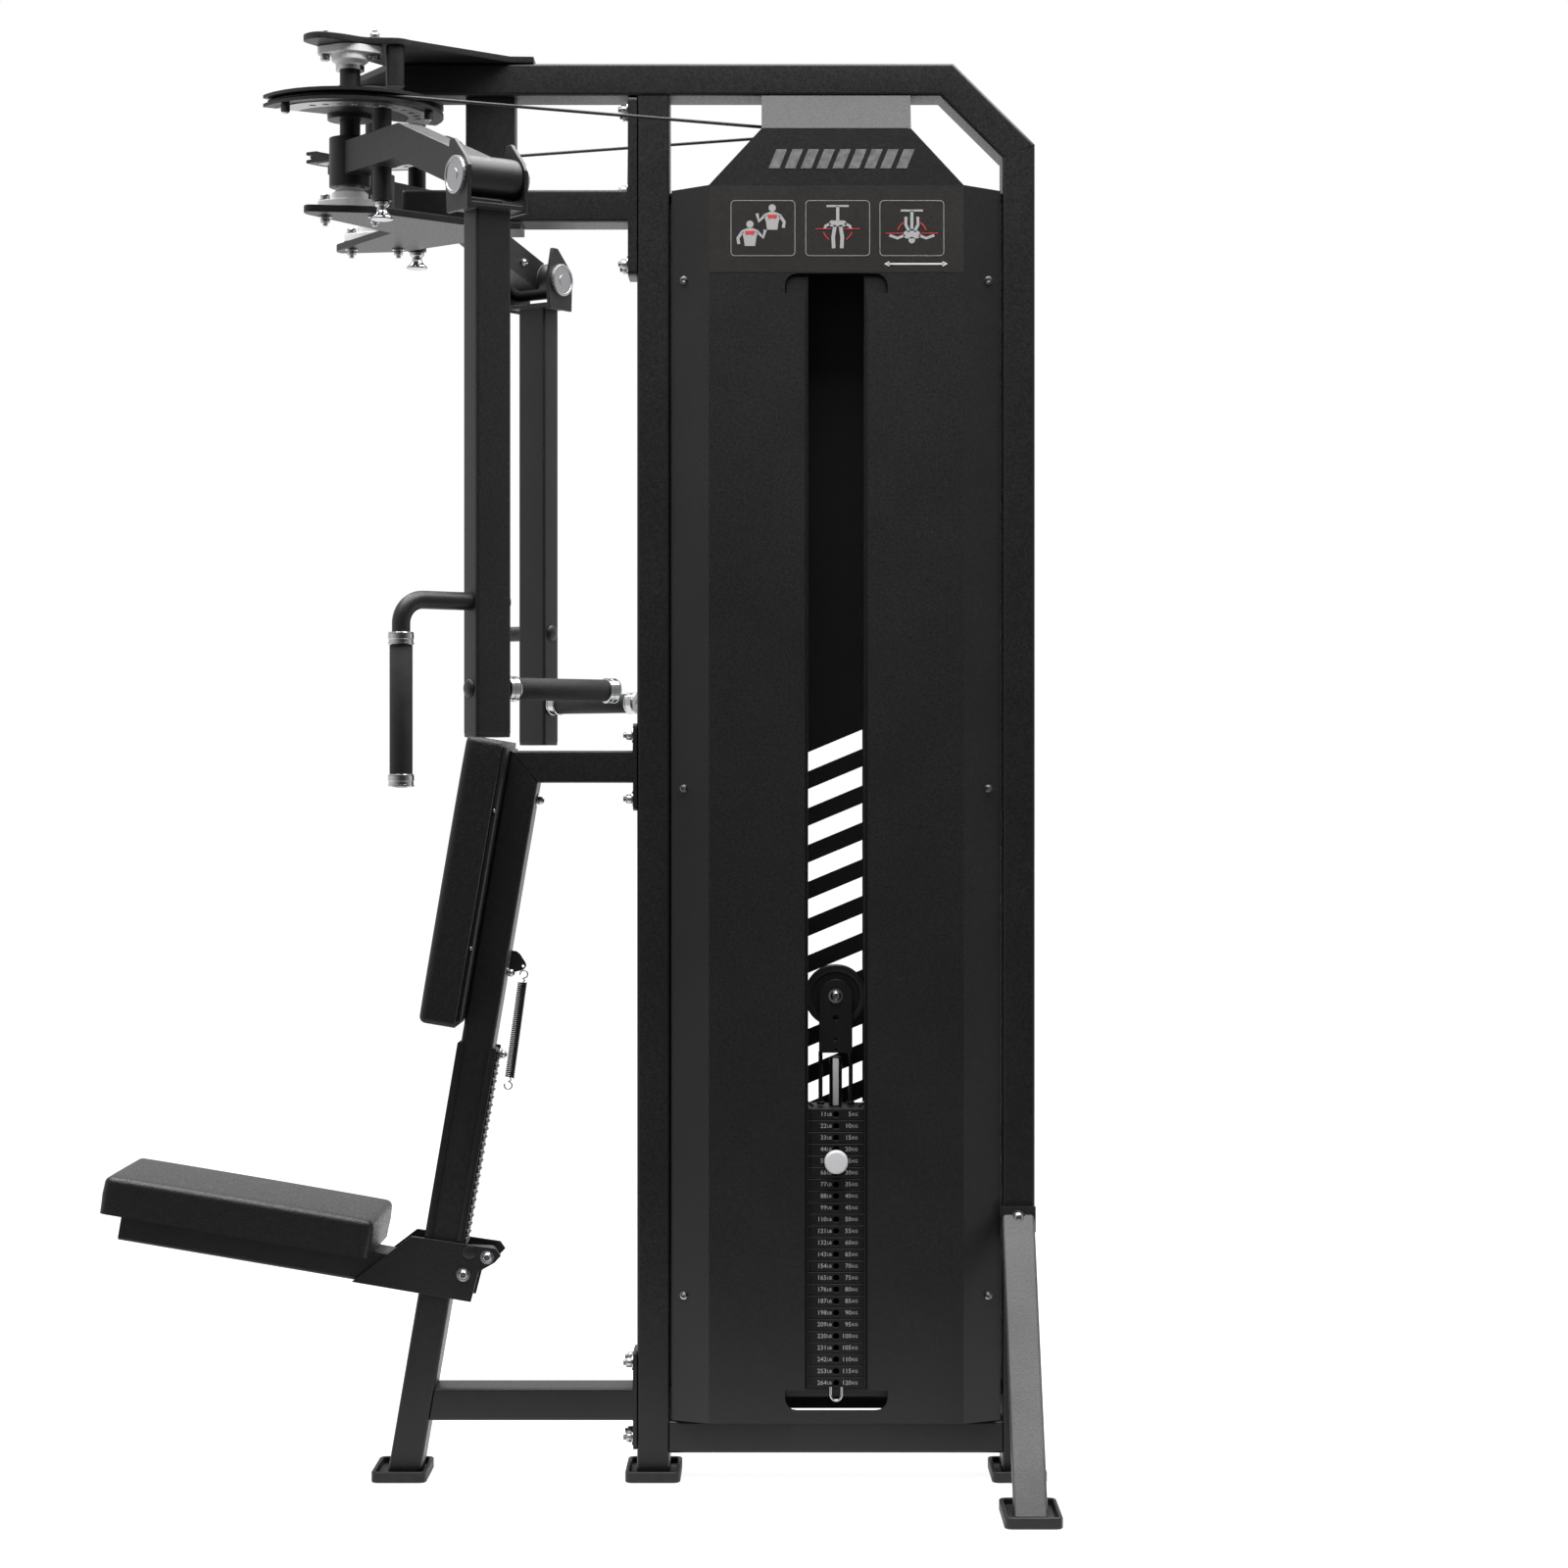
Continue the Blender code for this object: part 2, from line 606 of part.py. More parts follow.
def build_press_arm(name, side, pivot):
    """The hanging tube with its two ears, which carry the pivot pin."""
    outward, across = arm_direction(side), across_arm(side)
    high, deep = PRESS_ARM
    path = [on_arm(side, BARREL_REACH, PRESS_HEAD_Z), on_arm(side, BARREL_REACH, PRESS_FOOT_Z)]
    arm = tube(name + "_press_arm", path, high, deep, across, pivot=pivot)
    ear_loop = [(-0.030, -0.050), (0.030, -0.050), (0.032, 0.010), (0.024, 0.022)]
    ear_loop += [(-0.008, 0.053), (-0.022, 0.053), (-0.034, 0.0)]
    thickness = 0.006
    for s in (-1, 1):
        spot = on_arm(side, BARREL_REACH, BARREL_Z, s * (BARREL_HALF + GAP * 2 + thickness / 2))
        ear = flat("ear", [ear_loop], thickness, frame(spot, outward, Z_AXIS))
        unite(arm, ear)
    saddle_z = PRESS_HEAD_Z - 0.001
    saddle = flat(
        "saddle",
        [rounded(0.058, 2 * (BARREL_HALF + thickness) - 0.002, 0.002)],
        0.007,
        frame(on_arm(side, BARREL_REACH, saddle_z), outward, Z_AXIS.cross(outward)),
    )
    ends = [on_arm(side, BARREL_REACH, BARREL_Z, s * (BARREL_HALF + 0.004)) for s in (-1, 1)]
    unite(arm, saddle, rod("pivot_pin", *ends, 0.0115, steps=16))
    for s in (-1, 1):
        face = BARREL_HALF + thickness
        cap_ends = [on_arm(side, BARREL_REACH, BARREL_Z, s * w) for w in (face, face + 0.0045)]
        unite(arm, rod("cap", *cap_ends, 0.027, steps=24))


def build_handles(name, side, pivot):
    """The L-shaped fly handle on the user's side and the straight rear-delt handle opposite."""
    face = PRESS_ARM[1] / 2 + GAP
    reach, bend, height = 0.137, 0.045, 1.333
    points = [(-face, height), (-(reach - bend), height)]
    points += [(-reach + bend - bend * sin(a), height - bend + bend * cos(a))
               for a in (pi / 8, pi / 4, 3 * pi / 8)]
    points += [(-reach, height - bend), (-reach, 1.072)]
    route = [on_arm(side, BARREL_REACH, z, w) for w, z in points]
    fly = wire(name + "_fly_handle", route, HANDLE_R, RUBBER, pivot, resolution=3)
    grip_top = on_arm(side, BARREL_REACH, 1.287, -reach)
    unite(fly, rod("grip", on_arm(side, BARREL_REACH, 1.0705, -reach), grip_top, GRIP_R, steps=20))
    start = on_arm(side, BARREL_REACH, 1.211, face)
    end = on_arm(side, BARREL_REACH, 1.211, 0.213)
    rod(name + "_rear_delt_handle", start, end, GRIP_R, RUBBER, pivot, steps=20)


def build_arms():
    for name, side in SIDES:
        shaft = pivot_at(name + "_wheel_axis", (SHAFT_X, side * SHAFT_Y, CABLE_Z))
        barrel = pivot_at(name + "_barrel_axis", on_arm(side, BARREL_REACH, BARREL_Z))
        pin = pivot_at(name + "_pin_axis", on_arm(side, PIN_REACH, CABLE_Z))
        build_wheel(name, side, shaft)
        build_wheel_cable(name, side, shaft)
        build_swing_arm(name, side, shaft)
        build_pull_pin(name, side, pin)
        build_press_arm(name, side, barrel)
        build_handles(name, side, barrel)


# ---------------------------------------------------------------- weight stack
def build_plates(name, count, top_z, pivot, extra=()):
    """A pile of plates, bored for the guide rods and the selector rod."""
    wide, deep, pitch = PLATE
    low = (STACK_X - wide / 2, -deep / 2, top_z - count * pitch + GAP)
    high = (STACK_X + wide / 2, deep / 2, top_z)
    pile = block(name, low, high, PLATE_IRON, pivot, radius=0.006)
    unite(pile, *extra)
    bores = [(STACK_X + s * GUIDE_OFFSET, GUIDE_R + 0.0008) for s in (-1, 1)]
    bores.append((STACK_X, 0.0115))
    for x, radius in bores:
        cut(pile, rod("bore", (x, 0, low[2] - 0.01), (x, 0, high[2] + 0.01), radius))
    return pile


def pin_bore(z, radius):
    return rod("pin_bore", (STACK_X, -0.10, z), (STACK_X, 0.03, z), radius, steps=10)


def build_stack():
    lift = pivot_at("stack_lift_axis", (STACK_X, 0, STACK_TOP_Z))
    pitch = PLATE[2]
    pin_z = STACK_TOP_Z - (SELECTED - 0.5) * pitch
    bushes = []
    for s in (-1, 1):
        foot = Vector((STACK_X + s * GUIDE_OFFSET, 0, STACK_TOP_Z - 0.001))
        bushes.append(rod("bush", foot, foot + Z_AXIS * 0.008, 0.0165, steps=20))
    build_plates("top_plate", 1, STACK_TOP_Z, lift, bushes)
    selected = build_plates("selected_plates", SELECTED - 1, STACK_TOP_Z - pitch, lift)
    cut(selected, pin_bore(pin_z, 0.0055))
    build_plates("resting_plates", PLATES - SELECTED, STACK_TOP_Z - SELECTED * pitch, None)
    rod_profile = [(0, 0.652), (0.006, 0.652), (0.010, 0.648), (0.010, 0.150), (0, 0.150)]
    selector = turned("selector_rod", rod_profile, Matrix.Translation((STACK_X, 0, 0)), CHROME, lift)
    cut(selector, pin_bore(pin_z, 0.0055))
    pin_profile = [(0, 0.090), (0.0045, 0.090), (0.0045, 0.006), (0.018, 0.004), (0.018, -0.008)]
    pin_profile += [(0.016, -0.010), (0, -0.010)]
    pull = pivot_at("selector_pin_axis", (STACK_X, -0.07, pin_z))
    matrix = along((STACK_X, -0.070, pin_z), Y_AXIS)
    turned("selector_pin", pin_profile, matrix, CAST_GREY, pull, 20)
    build_yoke(lift)


def pulley_profile(half):
    """Half a cable pulley's section turned about its axle: bore, face, rim and groove."""
    root = FALL - CABLE_R - 0.0005
    profile = [(0.0062, half), (0.014, half), (0.015, half - 0.003), (0.036, half - 0.003)]
    profile += [(0.038, half), (PULLEY_RIM, half), (root, 0.0025), (root, -0.0025)]
    profile += [(PULLEY_RIM, -half), (0.038, -half), (0.036, 0.003 - half), (0.015, 0.003 - half)]
    profile += [(0.014, -half), (0.0062, -half)]
    return profile


def build_yoke(lift):
    """The stirrup that hangs the stack from the floating pulley."""
    half_wide, thickness, inner = 0.026, 0.004, 0.0105
    base_z = 0.656
    loop = [(-half_wide, base_z - FLOATING_Z), (half_wide, base_z - FLOATING_Z)]
    loop += arc(half_wide, 0, pi, 10)
    yoke = block(
        "stack_yoke",
        (STACK_X - half_wide, -inner - thickness / 2, base_z),
        (STACK_X + half_wide, inner + thickness / 2, base_z + 0.012),
        POWDER_COAT,
        lift,
    )
    for s in (-1, 1):
        spot = (STACK_X, s * (inner + thickness / 2), FLOATING_Z)
        unite(yoke, flat("cheek", [loop], thickness, frame(spot, X_AXIS, Z_AXIS)))
        leg_x = STACK_X + s * 0.0235
        leg = rod("leg", (leg_x, 0, STACK_TOP_Z + GAP), (leg_x, 0, base_z + 0.006), 0.0035, steps=12)
        unite(yoke, leg)
    reach = inner + thickness + 0.002
    unite(yoke, rod("axle", (STACK_X, -reach, FLOATING_Z), (STACK_X, reach, FLOATING_Z), 0.0058, steps=16))
    axis = pivot_at("floating_pulley_axis", (STACK_X, 0, FLOATING_Z))
    where = along((STACK_X, 0, FLOATING_Z), Y_AXIS)
    turned("floating_pulley", pulley_profile(0.009), where, NYLON, axis, 36)
    left, right = STACK_X - FALL, STACK_X + FALL
    points = [(left, 0, CABLE_Z - FALL - GAP), (left, 0, 1.4)]
    points += [(x, 0, z) for x, z in arc(FALL, pi, 2 * pi, 14, (STACK_X, FLOATING_Z))]
    points += [(right, 0, 1.4), (right, 0, CABLE_Z - FALL - GAP)]
    wire("lifting_cable", points, CABLE_R, CABLE_COAT, lift)


def build_guides():
    inner = TUBE_HIGH / 2 + GAP
    low_x, high_x = FRONT_POST_X + inner, REAR_POST_X - inner
    base_top = STACK_TOP_Z - PLATES * PLATE[2] - GAP
    loop = [(low_x, 0), (low_x, 0.032), (low_x + 0.055, 0.050), (high_x - 0.055, 0.050), (high_x, 0.032)]
    loop = half_plate(loop + [(high_x, 0)])
    flat("stack_base", [loop], 0.0125, Matrix.Translation((0, 0, base_top - 0.0063)))
    head_low = 1.985
    holes = [circle(0.008, 12, (STACK_X + s * FALL, 0)) for s in (-1, 1)]
    flat("guide_head", [loop, *holes], 0.006, Matrix.Translation((0, 0, head_low + 0.003)))
    for name, side in SIDES:
        x = STACK_X + side * GUIDE_OFFSET
        side_name = "front" if name == "left" else "rear"
        rod(side_name + "_guide_rod", (x, 0, base_top + GAP), (x, 0, head_low - GAP), GUIDE_R)


# ---------------------------------------------------------------- head pulleys and cable runs
def build_head():
    """The folded housing under the top beam, with a turned-over pulley for each cable."""
    half_long, roof_z, foot_z, sheet = 0.115, TOP_Z - TUBE_HIGH - GAP, 2.0858, 0.0016
    half_roof, fold_z = TUBE_DEEP / 2, 2.1
    outer = [(PANEL_Y, foot_z), (PANEL_Y, fold_z), (half_roof, roof_z)]
    inner = [(half_roof - sheet, roof_z - 0.004), (PANEL_Y - sheet, fold_z), (PANEL_Y - sheet, foot_z)]
    section = outer + [(-y, z) for y, z in outer[::-1]] + [(-y, z) for y, z in inner[::-1]] + inner
    where = frame((STACK_X, 0, 0), Y_AXIS, Z_AXIS)
    housing = flat("pulley_housing", [section], 2 * half_long, where)
    for name, side in SIDES:
        heading = cable_heading(side)
        forward = Vector((cos(heading), sin(heading), 0))
        fall = Vector((STACK_X + side * FALL, 0, CABLE_Z - FALL))
        centre = fall - forward * FALL
        square = Z_AXIS.cross(forward)
        for s in (-1, 1):
            spot = centre + square * s * 0.0125 + Z_AXIS * 0.040
            unite(housing, flat("strap", [rounded(0.026, 0.10, 0.004)], 0.003, frame(spot, forward, Z_AXIS)))
        unite(housing, rod("axle", centre - square * 0.0155, centre + square * 0.0155, 0.0058, steps=16))
        axis = pivot_at(name + "_head_pulley_axis", centre)
        turned(name + "_head_pulley", pulley_profile(0.009), along(centre, square), NYLON, axis, 36)
        tangent = Vector((SHAFT_X, side * SHAFT_Y, CABLE_Z)) + square * side * CABLE_ON_WHEEL_R
        over = [centre + forward * x + Z_AXIS * z for x, z in arc(FALL, pi / 2, 0, 8)]
        wire(name + "_cable", [tangent + forward * GAP, *over], CABLE_R, CABLE_COAT)


# ---------------------------------------------------------------- shrouds
def panel_outline(low_z, high_z):
    """The shroud's outline seen from the side, its x measured from the stack's centre."""
    shoulder = 1.998
    loop = [(-PANEL_HALF, low_z), (PANEL_HALF, low_z), (PANEL_HALF, 1.994), (FACET_HALF, shoulder)]
    loop += [(0.115, high_z), (-0.115, high_z), (-FACET_HALF, shoulder), (-PANEL_HALF, 1.994)]
    return loop


def slot_outline():
    """The selector slot, with a rounded wing to each side at its top and bottom."""
    top, foot, wing_high, wing = 1.862, 0.113, 0.030, 0.079
    radius = 0.018
    right = [(SLOT_HALF, foot + wing_high)]
    right = arc(radius, 0, -pi / 2, 4, (wing - radius, foot + radius))[::-1] + [(wing, foot + wing_high)] + right
    upper = [(SLOT_HALF, top - wing_high), (wing, top - wing_high)]
    upper += arc(radius, 0, pi / 2, 4, (wing - radius, top - radius))
    half = right + upper
    return half + [(-x, z) for x, z in reversed(half)]


def slanted_cutouts():
    """A column of slanted bars, which lighten the far panel."""
    wide, tall, step, slant = 0.043, 0.030, 0.058, 0.018
    loops = []
    for i in range(14):
        z = 0.36 + i * step
        loops.append([(-wide, z - slant), (wide, z + slant), (wide, z + slant + tall), (-wide, z - slant + tall)])
    return loops


def build_shroud(name, side, holes):
    """Sheet folded at two lines, so that its sides slope back to the posts."""
    mesh = curve_mesh(outline_curve([panel_outline(0.092, 2.085), *holes], SHEET))
    shape = bmesh.new()
    shape.from_mesh(mesh)
    for s in (-1, 1):
        everything = shape.verts[:] + shape.edges[:] + shape.faces[:]
        bmesh.ops.bisect_plane(
            shape, geom=everything, plane_co=(s * FACET_HALF, 0, 0), plane_no=(1, 0, 0), dist=1e-6
        )
    fold = 0.030 / (PANEL_HALF - FACET_HALF)
    for vert in shape.verts:
        vert.co.z -= max(abs(vert.co.x) - FACET_HALF, 0) * fold
    if side > 0:
        for vert in shape.verts:
            vert.co.z = -vert.co.z
        bmesh.ops.reverse_faces(shape, faces=shape.faces)
    shape.to_mesh(mesh)
    shape.free()
    # The outline's own x and y become the machine's x and z, and its thickness runs to -y.
    where = frame((STACK_X, side * (PANEL_Y - SHEET / 2), 0), X_AXIS, Z_AXIS)
    place(name, mesh, where, POWDER_COAT)


# ---------------------------------------------------------------- seat and back pad
def build_pad(name, low, high, pivot=None):
    """A plain padded block in the seat post's directions."""
    (b0, u0), (b1, u1) = low, high
    loop = rounded(b1 - b0, u1 - u0, 0.014, 3, ((b0 + b1) / 2, (u0 + u1) / 2))
    return flat(name, [loop], SEAT_WIDTH, post_frame(), VINYL, pivot)


def build_seat():
    slide = pivot_at("seat_slide_axis", on_post(0, 0))
    low = on_post(-0.497, -0.0175)
    high = on_post(-0.034, -0.0175)
    carriage = tube("seat_carriage", [low, high], TUBE_HIGH, 0.0822, Y_AXIS, pivot=slide)
    side_loop = [(-0.129, -0.045), (0.058, -0.045), (0.062, 0.003), (0.084, 0.021)]
    side_loop += [(0.092, 0.033), (0.082, 0.043), (-0.050, 0.040)]
    for _, side in SIDES:
        unite(carriage, flat("cheek", [side_loop], 0.006, post_frame(side * 0.0435)))
    bolt = [on_post(0.0455, -0.005, s * 0.045) for s in (-1, 1)]
    unite(carriage, rod("cross_bolt", *bolt, 0.006, steps=12))
    build_pad("seat_pad", (-0.5172, 0.0090), (-0.101, 0.0685), slide)
    hinge = pivot_at("seat_pawl_axis", on_post(0.0717, 0.0281))
    pawl_loop = arc(0.009, -pi / 2, pi / 2, 6, (0.0717, 0.0281)) + [(0.040, 0.033), (0.036, 0.025)]
    pawl = flat("seat_pawl", [pawl_loop], 0.050, post_frame(), GREY_STEEL, hinge)
    pin = [on_post(0.0717, 0.0281, s * 0.0402) for s in (-1, 1)]
    unite(pawl, rod("pawl_pin", *pin, 0.004, steps=12))


def build_post_fittings():
    """The toothed rack behind the seat post, the back pad and the spring with its bracket."""
    face = TUBE_HIGH / 2 + GAP
    low, high, tooth = -0.030, 0.345, 0.0125
    loop = [(face, high), (face, low)]
    count = int((high - low) / tooth)
    for i in range(count):
        z = low + i * tooth
        loop += [(face + 0.009, z), (face + 0.006, z + tooth * 0.75)]
    flat("seat_rack", [loop], 0.060, post_frame(), POWDER_COAT)
    front = -TUBE_HIGH / 2 - GAP
    build_pad("back_pad", (front - 0.064, 0.375), (front, 0.818))
    bracket = [(face, 0.470), (0.050, 0.478), (0.053, 0.486), (0.035, 0.500), (face, 0.500)]
    spring = rod("counter_spring", on_post(0.051, 0.452), on_post(0.056, 0.303), 0.0075, RUBBER, steps=16)
    unite(spring, rod("hook", on_post(0.051, 0.440), on_post(0.047, 0.482), 0.0018, steps=8))
    unite(spring, flat("bracket", [bracket], 0.006, post_frame()))


def main():
    build_tower()
    build_arm_support()
    build_seat_frame()
    build_feet()
    for name, side in SIDES:
        build_stabiliser(name, side)
    build_bearing_plates()
    build_bearings()
    build_arms()
    build_stack()
    build_guides()
    build_head()
    build_shroud("left_shroud", -1, [slot_outline()])
    build_shroud("right_shroud", 1, slanted_cutouts())
    build_seat()
    build_post_fittings()


main()
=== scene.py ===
"""Pec deck machine: the looks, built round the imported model.

Metres, +Z up. The user sits at -X and faces -X. Left is -Y.
"""

import json
from math import asin, atan2, cos, hypot, pi, radians, sin, tan

import bmesh
import bpy
from mathutils import Matrix, Vector


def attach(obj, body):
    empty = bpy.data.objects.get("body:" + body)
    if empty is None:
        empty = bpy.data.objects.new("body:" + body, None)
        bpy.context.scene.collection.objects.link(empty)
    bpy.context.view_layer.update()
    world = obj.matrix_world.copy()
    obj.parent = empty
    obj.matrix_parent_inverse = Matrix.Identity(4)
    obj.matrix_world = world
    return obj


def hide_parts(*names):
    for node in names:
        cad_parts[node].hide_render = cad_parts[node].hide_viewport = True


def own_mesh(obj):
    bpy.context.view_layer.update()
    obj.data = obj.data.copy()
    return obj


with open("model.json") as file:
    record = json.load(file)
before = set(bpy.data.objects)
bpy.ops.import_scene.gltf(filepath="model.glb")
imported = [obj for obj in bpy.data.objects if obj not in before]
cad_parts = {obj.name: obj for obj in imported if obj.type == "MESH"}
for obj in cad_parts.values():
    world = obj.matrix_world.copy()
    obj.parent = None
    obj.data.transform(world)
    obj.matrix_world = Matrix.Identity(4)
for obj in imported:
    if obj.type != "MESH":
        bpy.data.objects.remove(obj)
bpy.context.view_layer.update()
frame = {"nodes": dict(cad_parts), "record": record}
NODES = frame["nodes"]
BODY_OF = {n: b for b, members in frame["record"]["behaviour"]["bodies"].items() for n in members}
SLOT_OF = {s["node"]: s["material_slot"] for s in frame["record"]["subparts"]}

X_AXIS, Y_AXIS, Z_AXIS = Vector((1, 0, 0)), Vector((0, 1, 0)), Vector((0, 0, 1))
SIDES = (("left", -1), ("right", 1))
BOTH = (-1, 1)

# ---------------------------------------------------------------- sizes repeated from the CAD
TOP_Z = 2.191
TUBE_HIGH, TUBE_DEEP = 0.050, 0.080
FRONT_POST_X, REAR_POST_X = 0.1147, 0.680
BEAM_END_X, SUPPORT_Z = -0.269, 1.9705
LEAN = radians(9.65)
POST_FOOT_X, SEAT_Z = -0.2726, 0.33
SHAFT_X, SHAFT_Y, FLANGE_BOLT_REACH = -0.339, 0.157, 0.0375
ARM_ANGLE, HOLE_STEP = radians(55.4), radians(12)
PIN_REACH, BARREL_REACH, BARREL_Z, BARREL_HALF = 0.1025, 0.418, 1.931, 0.042
PRESS_ARM_X, PRESS_ARM_Y, PRESS_FOOT_Z = 0.040, 0.057, 1.147
FLY_Z, REAR_DELT_Z, HANDLE_BAR_R = 1.333, 1.211, 0.0128
CABLE_Z, CABLE_ON_WHEEL_R, CABLE_R = 2.094, 0.132, 0.0025
STACK_X, STACK_TOP_Z, PITCH, PLATES, SELECTED = 0.3974, 0.576, 0.018, 24, 5
PLATE_LONG, PLATE_DEEP, PLATE_GAP, STACK_LIFT = 0.33, 0.11, 0.0011, 0.22
FALL, FLOATING_Z, GUIDE_OFFSET, PULLEY_HALF = 0.0455, 0.747, 0.064, 0.009
PANEL_Y, PAD_WIDTH = 0.066, 0.27


def mm(*points):
    """Points given in millimetres, in metres."""
    return [tuple(value / 1000 for value in point) for point in points]


# ---------------------------------------------------------------- materials
def linear(code):
    """The linear colour of an sRGB hex code."""
    parts = [int(code[i:i + 2], 16) / 255 for i in (1, 3, 5)]
    return tuple(c / 12.92 if c <= 0.04045 else ((c + 0.055) / 1.055) ** 2.4 for c in parts) + (1.0,)


def add(tree, kind, links=None, to=None, stops=(), **values):
    """Adds a node, and gives its first output to a socket.

    A value names a socket or a setting, a link feeds an input, and stops are colours or grey levels.
    """
    made = tree.nodes.new(kind)
    for name, value in values.items():
        socket = made.inputs.get(name.replace("_", " "))
        if socket is not None:
            socket.default_value = value
        else:
            setattr(made, name, value)
    for name, source in (links or {}).items():
        tree.links.new(source.outputs[0] if hasattr(source, "outputs") else source, made.inputs[name])
    for _ in stops[2:]:
        made.color_ramp.elements.new(0.5)
    for k, (position, tone) in enumerate(stops):
        element = made.color_ramp.elements[k]
        element.position = position
        element.color = linear(tone) if isinstance(tone, str) else (tone, tone, tone, 1)
    if to:
        tree.links.new(made.outputs[0], to)
    return made


def finish(name, colour, roughness, metallic=0.0, **shader_values):
    """A material, its tree, its shader's sockets, and the place that its patterns use."""
    made = bpy.data.materials.new(name)
    made.use_nodes = True
    tree = made.node_tree
    skin = tree.nodes["Principled BSDF"].inputs
    skin["Base Color"].default_value = linear(colour)
    skin["Roughness"].default_value = roughness
    skin["Metallic"].default_value = metallic
    for key, value in shader_values.items():
        skin[key.replace("_", " ")].default_value = value
    return made, tree, skin, {"Vector": add(tree, "ShaderNodeTexCoord").outputs["Object"]}


def powder_coat(name, dark, light, grain_mm=1.6, depth=0.00012, roughness=0.42, gloss=0.42):
    """Fine-textured powder coat: a satin, slightly pebbled paint over steel."""
    made, tree, skin, place = finish(name, dark, roughness, Specular_IOR_Level=gloss)
    grain = add(tree, "ShaderNodeTexNoise", place, Scale=1000 / grain_mm, Detail=2.0)
    cloud = add(tree, "ShaderNodeTexNoise", place, Scale=9.0, Detail=4.0)
    speck = add(tree, "ShaderNodeTexNoise", place, Scale=260.0, Detail=3.0)
    tone = add(tree, "ShaderNodeMath", {0: cloud, 1: speck}, operation="MULTIPLY")
    add(tree, "ShaderNodeValToRGB", {"Fac": tone}, skin["Base Color"], [(0.12, dark), (0.42, light)])
    levels = [(0.3, roughness - 0.05), (0.7, roughness + 0.07)]
    add(tree, "ShaderNodeValToRGB", {"Fac": speck}, skin["Roughness"], levels)
    add(tree, "ShaderNodeBump", {"Height": grain}, skin["Normal"], Strength=1.0, Distance=depth)
    return made


def cast_paint():
    """Cast iron under silver-grey paint: softly uneven, with a sand-cast pebble."""
    made, tree, skin, place = finish("silver_painted_casting", "#dedede", 0.45)
    sand = add(tree, "ShaderNodeTexNoise", place, Scale=700.0, Detail=4.0)
    cloud = add(tree, "ShaderNodeTexNoise", place, Scale=38.0, Detail=3.0)
    add(tree, "ShaderNodeValToRGB", {"Fac": cloud}, skin["Base Color"], [(0.3, "#d4d4d5"), (0.7, "#e8e8e8")])
    add(tree, "ShaderNodeBump", {"Height": sand}, skin["Normal"], Strength=1.0, Distance=0.0002)
    return made


def plated(name, colour, roughness, wave_mm=0.0):
    """Chrome or zinc plate over turned steel, with faint turning marks where wave_mm is given."""
    made, tree, skin, place = finish(name, colour, roughness, 1.0)
    smear = add(tree, "ShaderNodeTexNoise", place, Scale=120.0, Detail=3.0)
    levels = [(0.3, max(roughness - 0.04, 0.02)), (0.75, roughness + 0.08)]
    add(tree, "ShaderNodeValToRGB", {"Fac": smear}, skin["Roughness"], levels)
    if wave_mm:
        wave = {"Scale": 1000 / wave_mm / 6.3, "Distortion": 0.6, "Detail": 2.0, "bands_direction": "Z"}
        rings = add(tree, "ShaderNodeTexWave", place, **wave).outputs["Fac"]
        add(tree, "ShaderNodeBump", {"Height": rings}, skin["Normal"], Strength=1.0, Distance=0.00005)
    return made


def brushed_aluminium():
    """Brushed, clear-anodised aluminium: a pale metal with a fine matte scratch."""
    made, tree, skin, place = finish("brushed_aluminium", "#b4b4b6", 0.38, 1.0)
    scratch = add(tree, "ShaderNodeTexNoise", place, Scale=900.0, Detail=5.0)
    add(tree, "ShaderNodeValToRGB", {"Fac": scratch}, skin["Base Color"], [(0.3, "#969698"), (0.7, "#bebec0")])
    add(tree, "ShaderNodeBump", {"Height": scratch}, skin["Normal"], Strength=1.0, Distance=0.00006)
    return made


def moulded(name, colour, light, roughness, grain_mm, depth):
    """Moulded rubber, nylon or foam: matte, with a fine even pebble."""
    made, tree, skin, place = finish(name, colour, roughness)
    pebble = add(tree, "ShaderNodeTexVoronoi", place, Scale=1000 / grain_mm)
    cloud = add(tree, "ShaderNodeTexNoise", place, Scale=60.0, Detail=5.0)
    add(tree, "ShaderNodeValToRGB", {"Fac": cloud}, skin["Base Color"], [(0.3, colour), (0.7, light)])
    add(tree, "ShaderNodeBump", {"Height": pebble}, skin["Normal"], Strength=1.0, Distance=depth)
    return made


def vinyl():
    """Upholstery vinyl over firm foam: a pebbled leather grain with paler high spots, a painted highlight on the raised
    grain.
    """
    made, tree, skin, place = finish("pebbled_vinyl", "#121213", 0.42, Specular_IOR_Level=0.4)
    pebble = add(tree, "ShaderNodeTexVoronoi", place, Scale=420.0, Randomness=1.0)
    crease = add(tree, "ShaderNodeTexNoise", place, Scale=300.0, Detail=5.0)
    height = add(tree, "ShaderNodeMath", {0: pebble, 1: crease}, operation="ADD")
    # The paler tone follows the crease noise that also raises the grain: a painted highlight on the high spots.
    grain_highlight_tones = [(0.35, "#0d0d0e"), (0.55, "#121213"), (0.75, "#1c1c1d")]
    add(tree, "ShaderNodeValToRGB", {"Fac": crease}, skin["Base Color"], grain_highlight_tones)
    add(tree, "ShaderNodeValToRGB", {"Fac": crease}, skin["Roughness"], [(0.35, 0.55), (0.65, 0.34)])
    add(tree, "ShaderNodeBump", {"Height": height}, skin["Normal"], Strength=0.8, Distance=0.0004)
    return made


